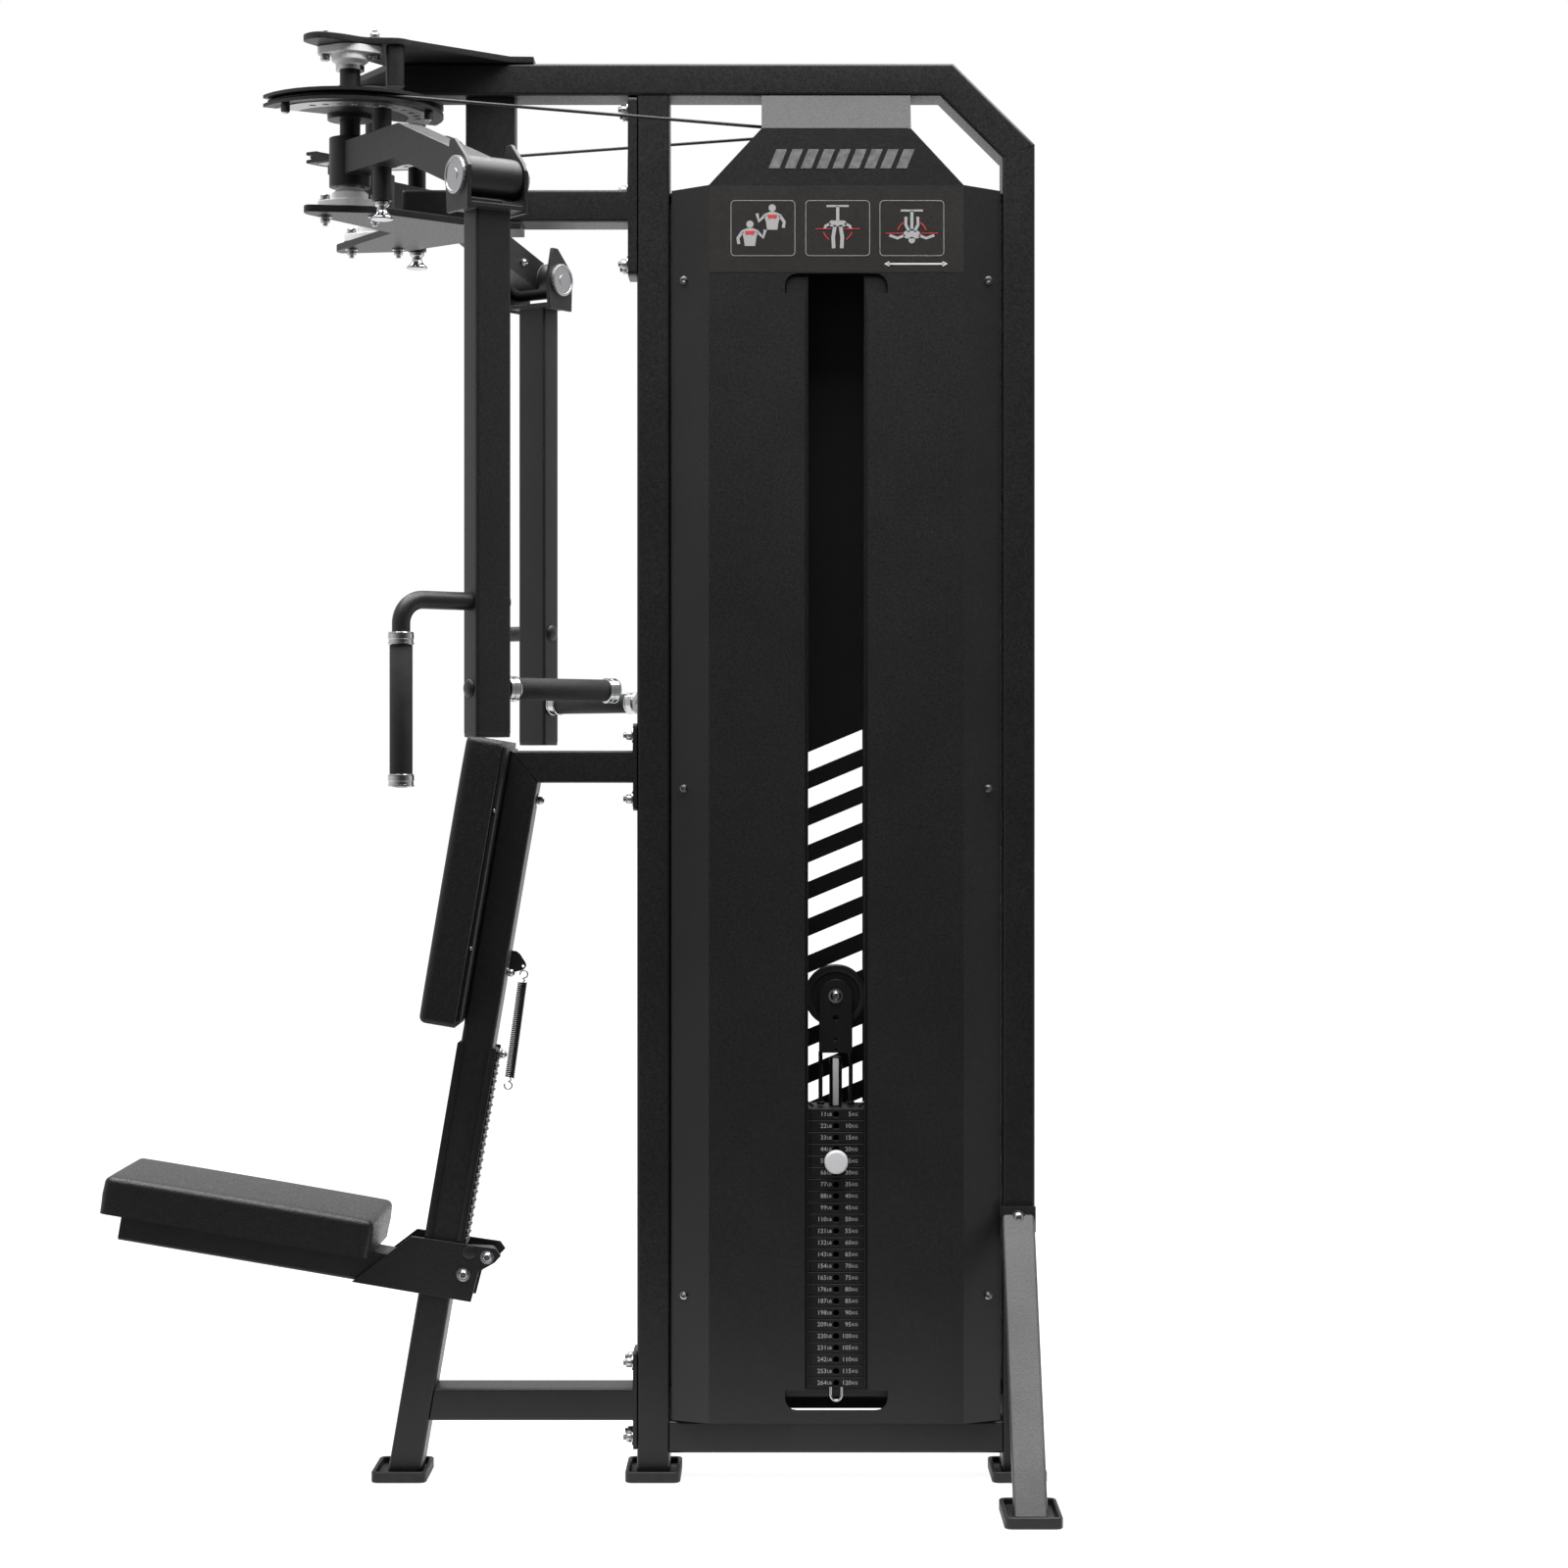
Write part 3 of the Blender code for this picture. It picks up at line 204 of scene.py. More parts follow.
BLACK_COAT = powder_coat("textured_black_powder_coat", "#131313", "#1b1b1b")
PANEL_COAT = powder_coat("sheet_black_powder_coat", "#171717", "#1e1e1e", 1.2, 0.00008, 0.42)
LEG_COAT = powder_coat("mottled_grey_powder_coat", "#343434", "#505050", 2.4, 0.0003, 0.45, 0.5)
HOOD_COAT = powder_coat("mottled_black_powder_coat", "#141414", "#242424", 2.4, 0.0003, 0.45, 0.42)
# Near-black for the rails behind the slot's edges and the backing at its head: painted shade, darker than the paint,
# for the dark inside of the slot.
SLOT_SHADE_BLACK = powder_coat("slot_black_painted_shade", "#0a0a0a", "#0e0e0e", 1.2, 0.00008, 0.7, 0.2)
PLATE_COAT = powder_coat("weight_plate_powder_coat", "#0c0c0c", "#121212", 2.0, 0.0001, 0.5, 0.3)
CAST_PAINT = cast_paint()
CHROME = plated("polished_chrome", "#bcbdbf", 0.07)
TURNED_CHROME = plated("turned_chrome", "#bdbec0", 0.16, 1.2)
ZINC = plated("bright_zinc_plate", "#b6b7ba", 0.24)
ALUMINIUM = brushed_aluminium()
FEET_RUBBER = moulded("moulded_black_rubber", "#111111", "#1d1d1d", 0.6, 1.6, 0.00018)
GRIP_RUBBER = moulded("foam_grip_rubber", "#131313", "#1e1e1e", 0.72, 1.1, 0.00025)
NYLON = moulded("moulded_black_nylon", "#101010", "#181818", 0.38, 2.5, 0.00006)
PLASTIC = moulded("moulded_black_plastic", "#0d0d0d", "#151515", 0.45, 1.4, 0.0001)
CABLE_COAT = moulded("nylon_coated_cable", "#060606", "#0a0a0a", 0.55, 1.5, 0.00012)
SPRING_STEEL = plated("oiled_spring_steel", "#2a2a2b", 0.34)
PAD_VINYL = vinyl()
PLACARD = powder_coat("printed_placard_film", "#1d1a18", "#252220", 3.0, 0.00002, 0.5)
WHITE_INK = finish("white_screen_ink", "#dcdcdc", 0.5)[0]
GREY_INK = finish("grey_screen_ink", "#a8a8a8", 0.5)[0]
RED_INK = finish("red_screen_ink", "#c8393c", 0.5)[0]
SILVER_INK = plated("brushed_silver_foil", "#c4c4c6", 0.36)
KNOB_FACE = finish("satin_knob_cap", "#d4d4d6", 0.45)[0]

SLOT_FINISH = {
    "powder_coat": BLACK_COAT, "grey_steel": LEG_COAT, "cast_grey": CAST_PAINT, "chrome": CHROME,
    "rubber": FEET_RUBBER, "vinyl": PAD_VINYL, "nylon": NYLON, "cable_coat": CABLE_COAT,
    "plate_iron": PLATE_COAT,
}


# ---------------------------------------------------------------- stage
def build_stage():
    scene = bpy.context.scene
    scene.view_settings.view_transform = "Standard"
    data = bpy.data.cameras.new("camera")
    data.sensor_width, data.lens = 36.0, 78.075
    camera = bpy.data.objects.new("camera", data)
    scene.collection.objects.link(camera)
    camera.location = (0.317, -5.298, 1.0763)
    camera.rotation_euler = (pi / 2, 0, 0)
    scene.camera = camera
    # The floor glows a little, so that it stays white as far as it goes, and it stops short of the camera.
    mesh = bpy.data.meshes.new("floor")
    mesh.from_pydata([(-30, -0.67, 0), (30, -0.67, 0), (30, 50, 0), (-30, 50, 0)], [], [(0, 1, 2, 3)])
    floor = bpy.data.objects.new("floor", mesh)
    scene.collection.objects.link(floor)
    glow = {"Emission_Color": (1, 1, 1, 1), "Emission_Strength": 0.92}
    mesh.materials.append(finish("pale_floor", "#808080", 0.9, **glow)[0])
    # A broad ceiling panel, which looks straight down as a light does unless it is turned.
    data = bpy.data.lights.new("overhead", "AREA")
    data.shape, data.size, data.size_y, data.energy = "RECTANGLE", 5.0, 4.8, 580
    overhead = bpy.data.objects.new("overhead", data)
    scene.collection.objects.link(overhead)
    overhead.location = (0.2, -0.3, 4.6)
    # A white room that is dark only round the camera, so that the faces it looks at stay black.
    world = bpy.data.worlds.new("studio")
    scene.world = world
    world.use_nodes = True
    tree = world.node_tree
    tree.nodes.clear()
    place = add(tree, "ShaderNodeTexCoord").outputs["Generated"]
    away = add(tree, "ShaderNodeVectorMath", {0: place}, operation="DOT_PRODUCT")
    away.inputs[1].default_value = (-0.3, 0.954, 0)
    span = {"From_Min": -0.96, "From_Max": 0.1, "To_Min": 0.06, "To_Max": 0.78}
    front = add(tree, "ShaderNodeMapRange", {"Value": away.outputs["Value"]}, **span)
    seen = add(tree, "ShaderNodeLightPath").outputs["Is Camera Ray"]
    strength = add(tree, "ShaderNodeMath", {0: seen, 1: front}, operation="MAXIMUM")
    sky = add(tree, "ShaderNodeBackground", {"Strength": strength}, Color=(1, 1, 1, 1))
    add(tree, "ShaderNodeOutputWorld", {"Surface": sky})


# ---------------------------------------------------------------- placing
def matrix_of(origin, x_axis, y_axis):
    x, y = Vector(x_axis).normalized(), Vector(y_axis).normalized()
    made = Matrix((x, y, x.cross(y))).transposed().to_4x4()
    made.translation = Vector(origin)
    return made


def along(origin, axis):
    made = Vector(axis).to_track_quat("Z", "Y").to_matrix().to_4x4()
    made.translation = Vector(origin)
    return made


def merged(parts):
    """One bmesh of several."""
    whole = bmesh.new()
    for part in parts:
        mesh = bpy.data.meshes.new("part")
        part.to_mesh(mesh)
        part.free()
        whole.from_mesh(mesh)
        bpy.data.meshes.remove(mesh)
    return whole


def moved(shape, matrix):
    """The shape, moved by a matrix or by a plain offset."""
    matrix = matrix if isinstance(matrix, Matrix) else Matrix.Translation(matrix)
    bmesh.ops.transform(shape, matrix=matrix, verts=shape.verts)
    return shape


def piece(name, shape, material, body="frame", at=None, smooth=40, stands_for=None):
    """Makes an object of a bmesh or a list of them, shades it, and makes it ride on a body."""
    shape = merged(shape) if isinstance(shape, list) else shape
    if at is not None:
        moved(shape, at)
    bmesh.ops.recalc_face_normals(shape, faces=shape.faces)
    limit = radians(smooth)
    for face in shape.faces:
        face.smooth = True
    for edge in shape.edges:
        edge.smooth = len(edge.link_faces) == 2 and edge.calc_face_angle(0) < limit
    mesh = bpy.data.meshes.new(name)
    shape.to_mesh(mesh)
    shape.free()
    mesh.materials.append(material)
    made = bpy.data.objects.new(name, mesh)
    bpy.context.scene.collection.objects.link(made)
    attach(made, body)
    if stands_for:
        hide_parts(stands_for)
    return made


def bevelled(made, width=0.0, angle=35):
    """Eases the sharp edges of an object, and keeps its flat faces flat in the light."""
    if width:
        step = made.modifiers.new("eased", "BEVEL")
        step.width, step.segments, step.limit_method, step.angle_limit = width, 2, "ANGLE", radians(angle)
        step.use_clamp_overlap = False
    made.modifiers.new("flats", "WEIGHTED_NORMAL").keep_sharp = True


# ---------------------------------------------------------------- shapes
def arc(radius, start, end, steps, centre=(0, 0)):
    turns = [start + (end - start) * i / steps for i in range(steps + 1)]
    return [(centre[0] + radius * cos(a), centre[1] + radius * sin(a)) for a in turns]


def ring(radius, steps, centre=(0, 0)):
    return arc(radius, 0, 2 * pi, steps, centre)[:-1]


def rounded(width, height, radius, steps=4, centre=(0, 0)):
    points = []
    for i, (sx, sy) in enumerate(((1, 1), (-1, 1), (-1, -1), (1, -1))):
        corner = (centre[0] + sx * (width / 2 - radius), centre[1] + sy * (height / 2 - radius))
        points += arc(radius, i * pi / 2, (i + 1) * pi / 2, steps, corner)
    return points


def filled(curve):
    """The bmesh of a flat curve or a text."""
    holder = bpy.data.objects.new("outline", curve)
    bpy.context.scene.collection.objects.link(holder)
    mesh = bpy.data.meshes.new_from_object(holder.evaluated_get(bpy.context.evaluated_depsgraph_get()))
    bpy.data.objects.remove(holder)
    shape = bmesh.new()
    shape.from_mesh(mesh)
    bpy.data.meshes.remove(mesh)
    return shape


def slab(loops, thickness):
    """A flat outline with holes, centred on its thickness."""
    curve = bpy.data.curves.new("outline", "CURVE")
    curve.dimensions, curve.fill_mode, curve.extrude = "2D", "BOTH", thickness / 2
    for loop in loops:
        spline = curve.splines.new("POLY")
        spline.points.add(len(loop) - 1)
        for point, (x, y) in zip(spline.points, loop):
            point.co = (x, y, 0, 1)
        spline.use_cyclic_u = True
    shape = filled(curve)
    bmesh.ops.remove_doubles(shape, verts=shape.verts, dist=1e-6)
    bmesh.ops.dissolve_limit(shape, angle_limit=radians(0.5), verts=shape.verts, edges=shape.edges)
    return shape


def skinned(shape, pairs):
    """Faces from ring to ring. A ring of one point closes to a tip."""
    steps = max(len(loop) for pair in pairs for loop in pair)
    for first, second in pairs:
        for k in range(steps):
            n = (k + 1) % steps
            sides = [(first, k), (first, n), (second, n), (second, k)]
            corners = list(dict.fromkeys(loop[i % len(loop)] for loop, i in sides))
            if len(corners) > 2:
                shape.faces.new(corners)
    bmesh.ops.recalc_face_normals(shape, faces=shape.faces)
    return shape


def plate(outline, thickness, ease=0.0006, segments=2):
    """A solid slab with its rim eased. The outline has no holes."""
    shape = bmesh.new()
    low, high = ([shape.verts.new((x, y, z)) for x, y in outline] for z in (-thickness / 2, thickness / 2))
    shape.faces.new(low[::-1])
    shape.faces.new(high)
    skinned(shape, [(low, high)])
    if ease:
        edges = [e for e in shape.edges if e.calc_face_angle(0) > radians(50)]
        bmesh.ops.bevel(
            shape, geom=edges, offset=ease, segments=segments, profile=0.5, affect="EDGES", clamp_overlap=True
        )
    return shape


def flat_bar(width, height, radius, thickness, ease=0.0006, steps=4):
    """A flat bar with rounded corners."""
    return plate(rounded(width, height, radius, steps), thickness, ease)


def lathe(profile, steps=32):
    """A profile of (radius, height) turned about Z: open where both ends are on the axis, else closed."""
    shape = bmesh.new()
    rings = [[shape.verts.new((*spot, h)) for spot in (ring(r, steps) if r > 1e-7 else [(0, 0)])] for r, h in profile]
    pairs = list(zip(rings, rings[1:]))
    if profile[0][0] > 1e-7:
        pairs.append((rings[-1], rings[0]))
    return skinned(shape, pairs)


def rod(start, end, radius, steps=24, ease=0.0006):
    start, end = Vector(start), Vector(end)
    length = (end - start).length
    ease = min(ease, radius * 0.5, length * 0.4)
    profile = [(0, length), (radius - ease, length), (radius, length - ease), (radius, ease), (radius - ease, 0)]
    return moved(lathe(profile + [(0, 0)], steps), along(start, end - start))


def sweep(points, radius, steps=12):
    """A round bar along the points, its rings kept square to the path."""
    points = [Vector(p) for p in points]
    shape = bmesh.new()
    rings, last = [], None
    for before, point, after in zip([points[0], *points], points, [*points[1:], points[-1]]):
        run = (after - before).normalized()
        last = (last - run * last.dot(run) if last else run.orthogonal()).normalized()
        up = run.cross(last)
        rings.append([shape.verts.new(point + last * x + up * y) for x, y in ring(radius, steps)])
    shape.faces.new(rings[0][::-1])
    shape.faces.new(rings[-1])
    return skinned(shape, list(zip(rings, rings[1:])))


def hexagon(across, height):
    """A hexagon head or nut with a chamfered crown."""
    return plate(ring(across / 2 / cos(pi / 6), 6), height, 0.0008, 1)


def bolt(where, axis, across=0.013, washer=0.011, thread=0.0):
    """A hexagon head on a washer, its underside at where, with a length of thread beyond it."""
    under, pitch = 0.0016, 0.0012
    top = under + across * 0.62
    parts = [lathe([(0, under), (washer, 0.0014), (washer, 0), (0, 0)], 24)]
    parts.append(moved(hexagon(across, across * 0.62), (0, 0, under + across * 0.31)))
    if thread:
        profile = [(0, top + thread)]
        for i in range(int(thread / pitch)):
            z = top + thread - i * pitch
            profile += [(across * 0.27, z - 0.0002), (across * 0.32, z - 0.0008)]
        parts.append(lathe(profile + [(across * 0.27, top - 0.001), (0, top - 0.001)], 16))
    return moved(merged(parts), along(where, axis))


def button_bolt(where, axis, radius=0.011, socket=0.0042):
    """A button head with a hexagon socket, in a flange washer."""
    head = [(0, 0.0042), (socket, 0.0042), (socket, 0.0066), (radius * 0.45, 0.0068), (radius * 0.66, 0.0052)]
    head += [(radius * 0.74, 0.0022), (radius, 0.0018), (radius, 0), (0, 0)]
    return moved(lathe(head, 28), along(where, axis))


def dome(where, axis, radius, height):
    profile = [(radius * cos(a), height * sin(a)) for a in [pi / 2 * k / 8 for k in range(9)]][::-1]
    profile[0] = (0, height)
    return moved(lathe(profile + [(radius, -0.001), (0, -0.001)], 28), along(where, axis))


def dressed(node, material, ease=0.0, smooth=40):
    """A finished copy of a CAD piece, cleaned of its triangles and with its edges eased."""
    shape = bmesh.new()
    shape.from_mesh(NODES[node].data)
    bmesh.ops.remove_doubles(shape, verts=shape.verts, dist=2e-6)
    bmesh.ops.dissolve_limit(shape, angle_limit=radians(1.0), verts=shape.verts, edges=shape.edges)
    made = piece(node + "_dressed", shape, material, BODY_OF[node], None, smooth, node)
    bevelled(made, ease)


# ---------------------------------------------------------------- directions
POST_UP = Vector((sin(LEAN), 0, cos(LEAN)))
POST_BACK = Vector((cos(LEAN), 0, -sin(LEAN)))


def on_post(back, up, y=0.0):
    origin = Vector((POST_FOOT_X + SEAT_Z * tan(LEAN), 0, SEAT_Z))
    return origin + POST_BACK * back + POST_UP * up + Y_AXIS * y


def post_frame(back=0.0, up=0.0, y=0.0):
    return matrix_of(on_post(back, up, y), POST_BACK, POST_UP)


def facing_side(x, y, z):
    """A place whose outlines are drawn in x and z, facing the near side."""
    return matrix_of((x, y, z), X_AXIS, Z_AXIS)


def arm_direction(side):
    return Vector((cos(ARM_ANGLE), side * sin(ARM_ANGLE), 0))


def across_arm(side):
    return Vector((sin(ARM_ANGLE), -side * cos(ARM_ANGLE), 0))


def on_arm(side, reach, z, across=0.0):
    return Vector((SHAFT_X, side * SHAFT_Y, z)) + arm_direction(side) * reach + across_arm(side) * across


def cable_heading(side):
    dx, dy = STACK_X + side * FALL - SHAFT_X, SHAFT_Y
    return -side * (atan2(dy, dx) + asin(CABLE_ON_WHEEL_R / hypot(dx, dy)))


# ---------------------------------------------------------------- frame
def build_frame():
    for node in ("top_beam", "rear_post", "front_post", "bottom_beam", "seat_post"):
        dressed(node, BLACK_COAT, 0, 50)
    for node in ("arm_support_beam", "mid_beam", "base_beam"):
        dressed(node, BLACK_COAT, 0.0007, 50)
    for node in ("stack_base", "guide_head"):
        dressed(node, BLACK_COAT, 0.0009)
    build_bearing_plates()
    for name, _ in SIDES:
        dressed(name + "_stabiliser", LEG_COAT, 0.0007, 50)
    for node in [n for n in NODES if n.endswith("_foot")]:
        dressed(node, FEET_RUBBER, 0.0016)
    build_flange_bolts()
    # Plastic plugs in the open ends of the beams.
    caps = []
    for z in (TOP_Z - 0.025, SUPPORT_Z):
        cap = flat_bar(TUBE_HIGH - 0.0008, TUBE_DEEP - 0.0008, 0.005, 0.004, 0.0014)
        caps.append(moved(cap, matrix_of((BEAM_END_X - 0.0018, 0, z), Z_AXIS, (-X_AXIS).cross(Z_AXIS))))
    piece("beam_end_caps", caps, PLASTIC)


def build_flange_bolts():
    face = FRONT_POST_X - TUBE_HIGH / 2
    rows = (("upper", 0.0146, (2.121, 1.996, 1.882)), ("mid", 0.0066, (1.152, 1.053)), ("base", 0.0066, (0.180, 0.064)))
    for name, thickness, heights in rows:
        spots = [(face - thickness, y, z) for z in heights for y in (-0.028, 0.028)]
        piece(name + "_flange_bolts", [bolt(spot, -X_AXIS, 0.014, 0.012, 0.005) for spot in spots], ZINC)
    for name, side in SIDES:
        x, face = REAR_POST_X - 0.001, TUBE_DEEP / 2
        screw = button_bolt((x, side * (face + 0.0064), 0.4065), Y_AXIS * side, 0.0115)
        piece(name + "_stabiliser_bolt", screw, ZINC)
        shape = flat_bar(0.051, 0.040, 0.002, 0.007, 0.0008)
        piece(name + "_stabiliser_bracket", shape, BLACK_COAT, at=facing_side(x, side * (face + 0.0038), 0.404))


def curve_through(points, steps=6):
    """A smooth run through the points, which passes through every one."""
    ends = [points[0], *points, points[-1]]
    run = []
    for a, b, c, d in zip(ends, ends[1:], ends[2:], ends[3:]):
        for t in [k / steps for k in range(steps)]:
            run.append(tuple(
                0.5 * (2 * q + (r - p) * t + (2 * p - 5 * q + 4 * r - w) * t * t + (3 * q - p - 3 * r + w) * t ** 3)
                for p, q, r, w in zip(a, b, c, d)
            ))
    return run + [points[-1]]


def build_bearing_plates():
    """The laser-cut plates that carry the arms' shafts, with a stop post under each side of the upper one."""
    lobes = mm(
        (-398, 172), (-405, 190), (-396, 208), (-376, 217.5), (-345, 203), (-316, 180), (-290, 175.5),
        (-262, 172), (-246.5, 157),
    )
    upper = mm((-295, 0)) + curve_through(lobes) + mm((-106, 42), (-70, 40))
    nose = curve_through(mm((-402.5, 174.5), (-404.5, 190), (-398, 201.5), (-385, 201.5)))
    lower = mm((-295, 0)) + nose + mm((-297.7, 187), (-180.5, 85), (-125, 42), (-90, 40))
    for level, half, thickness, z in (("upper", upper, 0.010, TOP_Z + 0.0053), ("lower", lower, 0.011, 1.9397)):
        node = level + "_bearing_plate"
        outline = half + [(x, -y) for x, y in reversed(half) if y > 0]
        shape = plate(outline, thickness, 0.0012)
        bevelled(piece(node + "_cut", shape, BLACK_COAT, at=(0, 0, z), stands_for=node))
    x = SHAFT_X + 0.068
    piece("stop_posts", [rod((x, s * 0.155, 2.131), (x, s * 0.155, 2.1912), 0.014, 28) for s in BOTH], BLACK_COAT)


def build_bearings():
    """Two-bolt cast flange bearings, with their bolts and lock collars."""
    for name, side in SIDES:
        for level, z, up, plate_face in (("upper", TOP_Z, -1, 0.0106), ("lower", SUPPORT_Z - TUBE_HIGH / 2, 1, 0.0116)):
            dressed(f"{name}_{level}_bearing", CAST_PAINT, 0.0011)
            centre, out = Vector((SHAFT_X, side * SHAFT_Y, z)), Z_AXIS * up
            heads = []
            for s in BOTH:
                at = centre + X_AXIS * s * FLANGE_BOLT_REACH
                heads.append(bolt(at + out * 0.0118, out, 0.013, 0.0105))
                heads.append(bolt(at - out * plate_face, -out, 0.013, 0.0105, 0.005))
            piece(f"{name}_{level}_bearing_bolts", heads, ZINC)
            shape = lathe(mm((16.3, 30), (21.5, 30), (21.5, 37), (16.3, 37)), 28)
            piece(f"{name}_{level}_lock_collar", shape, TURNED_CHROME, name + "_wheel", along(centre, out))


# ---------------------------------------------------------------- arms
def build_wheels():
    for name, side in SIDES:
        body = name + "_wheel"
        dressed(name + "_cable_wheel", BLACK_COAT)
        dressed(name + "_wheel_cable", CABLE_COAT, 0, 60)
        centre = Vector((SHAFT_X, side * SHAFT_Y, 0))
        # A ring of start-position holes under the rim, over the pin's slot.
        start, end, margin = radians(214), radians(387), 0.12
        rim = arc(0.123, start, end, 40) + arc(0.088, end, start, 30)
        loops = [[(x, side * -y) for x, y in rim]]
        for k in range(-5, 6):
            angle = k * HOLE_STEP - ARM_ANGLE
            if start - 2 * pi + margin < angle < end - 2 * pi - margin:
                loops.append(ring(0.0055, 16, (PIN_REACH * cos(angle), -side * PIN_REACH * sin(angle))))
        where = centre + Z_AXIS * (CABLE_Z - 0.0097)
        piece(name + "_selector_ring", slab(loops, 0.0012), ALUMINIUM, body, where)
        bumpers, studs = [], []
        for angle in (231, 340):
            turn = radians(angle) * -side
            top = centre + Vector((cos(turn), sin(turn), 0)) * 0.1315 + Z_AXIS * (CABLE_Z - 0.0092)
            low = top - Z_AXIS * 0.013
            bumpers.append(rod(low, top, 0.0068, 20, 0.0012))
            studs.append(dome(low, -Z_AXIS, 0.005, 0.0028))
        piece(name + "_rubber_bumpers", bumpers, FEET_RUBBER, body)
        piece(name + "_bumper_screws", studs, ZINC, body)


def build_swing_arms():
    for name, side in SIDES:
        body = name + "_swing_arm"
        dressed(body, BLACK_COAT, 0.0012)
        screws = [
            button_bolt(on_arm(side, 0.352, 1.956, s * 0.0205), across_arm(side) * s, 0.0062, 0.0025) for s in BOTH
        ]
        piece(name + "_arm_screws", screws, ZINC, body)
        rim = lathe(mm((11.8, 1943.2), (15.2, 1943.2), (15.2, 1950), (11.8, 1950)), 28)
        pin = on_arm(side, PIN_REACH, 0)
        piece(name + "_housing_rim", rim, NYLON, body, pin)
        knob = mm(
            (0, 2100), (3.8, 2100), (4.5, 2098.5), (4.5, 1942.4), (10.8, 1942.4), (11.6, 1941.2), (11.6, 1937.5),
            (10.4, 1935.5), (8.2, 1933.5), (7.8, 1931), (8.4, 1927.5), (10.8, 1924), (14.2, 1920.8),
            (16.5, 1918.6), (17, 1917.2), (16.6, 1915.5), (15, 1914.7), (12, 1914.2), (0, 1914),
        )
        node = name + "_pull_pin"
        piece(name + "_pull_knob", lathe(knob, 36), CHROME, node, pin, 35, stands_for=node)


def build_press_arms():
    disc = mm((0, 1.2), (8.5, 1.2), (9, 0.4), (22.5, 0.6), (23.2, 1.9), (25.5, 2.1), (26.8, 1.2), (27.1, -4), (0, -4))
    for name, side in SIDES:
        body, axis = name + "_press_arm", across_arm(side)
        dressed(body, BLACK_COAT, 0.0010, 50)
        caps = []
        for s in BOTH:
            at = on_arm(side, BARREL_REACH, BARREL_Z, s * (BARREL_HALF + 0.0105))
            caps.append(moved(lathe(disc, 40), along(at, axis * s)))
        piece(name + "_pivot_caps", caps, ALUMINIUM, body)
        plug = flat_bar(PRESS_ARM_X - 0.001, PRESS_ARM_Y - 0.001, 0.005, 0.007, 0.0015)
        where = matrix_of(on_arm(side, BARREL_REACH, PRESS_FOOT_Z - 0.0014), arm_direction(side), axis)
        piece(name + "_foot_plug", plug, PLASTIC, body, where)
        domes = [
            dome(on_arm(side, BARREL_REACH, z, s * 0.0286), axis * s, 0.0135, 0.0065)
            for z, s in ((REAR_DELT_Z, -1), (FLY_Z, 1))
        ]
        piece(name + "_bolt_covers", domes, PLASTIC, body)
        build_handles(name, side, body)


def collar():
    """A turned aluminium ring with two grooves and a knurled band."""
    return lathe(mm(
        (12.8, 0), (17, 0), (18.2, 0.8), (18.2, 2.6), (17.3, 3), (17.3, 7.35), (18, 8.05), (18, 14.875),
        (17.3, 15.4), (18.2, 16.1), (17.6, 17.5), (12.8, 17.5),
    ), 40)


def grip(length):
    """A foam sleeve, its ends softly rounded."""
    r, ease, top = 0.0160, 0.0008, length - 0.001
    profile = [(HANDLE_BAR_R, 0), (r - ease, 0), (r, 0.001), (r, top), (r - ease, length), (HANDLE_BAR_R, length)]
    return lathe(profile, 36)


def build_handles(name, side, body):
    def at(z, across):
        return on_arm(side, BARREL_REACH, z, across)

    # The fly handle comes out of the arm, and turns down.
    reach, bend, foot, axis = 0.137, 0.034, 1.0725, across_arm(side)
    path = [at(FLY_Z, -0.0287), at(FLY_Z, bend - reach)]
    for k in range(1, 12):
        a = pi / 2 * k / 12
        path.append(at(FLY_Z - bend + bend * cos(a), -reach + bend - bend * sin(a)))
    path += [at(FLY_Z - bend, -reach), at(foot + 0.0025, -reach)]
    shape = sweep(path, HANDLE_BAR_R, 24)
    piece(name + "_fly_bar", shape, BLACK_COAT, body, smooth=50, stands_for=name + "_fly_handle")
    piece(name + "_fly_grip", moved(grip(0.18), along(at(1.0900, -reach), Z_AXIS)), GRIP_RUBBER, body)
    collars = [moved(collar(), along(at(z, -reach), Z_AXIS)) for z in (1.2695, foot)]
    piece(name + "_fly_collars", collars, TURNED_CHROME, body)
    piece(name + "_fly_end", dome(at(foot + 0.001, -reach), -Z_AXIS, 0.0135, 0.0022), PLASTIC, body)
    # The rear-delt handle goes straight inwards.
    start, end, z = 0.0288, 0.213, REAR_DELT_Z
    shape = rod(at(z, start), at(z, end - 0.002), HANDLE_BAR_R)
    piece(name + "_rear_delt_bar", shape, BLACK_COAT, body, smooth=50, stands_for=name + "_rear_delt_handle")
    piece(name + "_rear_delt_grip", moved(grip(0.147), along(at(z, start + 0.0185), axis)), GRIP_RUBBER, body)
    collars = [moved(collar(), along(at(z, w), axis)) for w in (start + 0.001, end - 0.0185)]
    piece(name + "_rear_delt_collars", collars, TURNED_CHROME, body)
    disc = mm((0, 2.2), (4.5, 1.8), (6, 0.8), (12.8, 0.8), (14.5, 1.6), (16.5, 1.4), (17, 0), (0, 0))
    lid = moved(lathe(disc, 32), along(at(z, end - 0.0012), axis))
    piece(name + "_rear_delt_end", lid, ALUMINIUM, body)


# ---------------------------------------------------------------- weight stack
def text_shape(words, size, x, z, side="LEFT"):
    """Print on the plates' front faces: a text's mesh facing -Y."""
    data = bpy.data.curves.new("print", "FONT")
    data.body, data.size, data.resolution_u = words, size, 2
    data.align_x, data.align_y = side, "CENTER"
    return moved(filled(data), facing_side(STACK_X + x, -PLATE_DEEP / 2 - 0.0003, z))


def plate_z(index):
    return STACK_TOP_Z - PITCH * (index + 0.5)


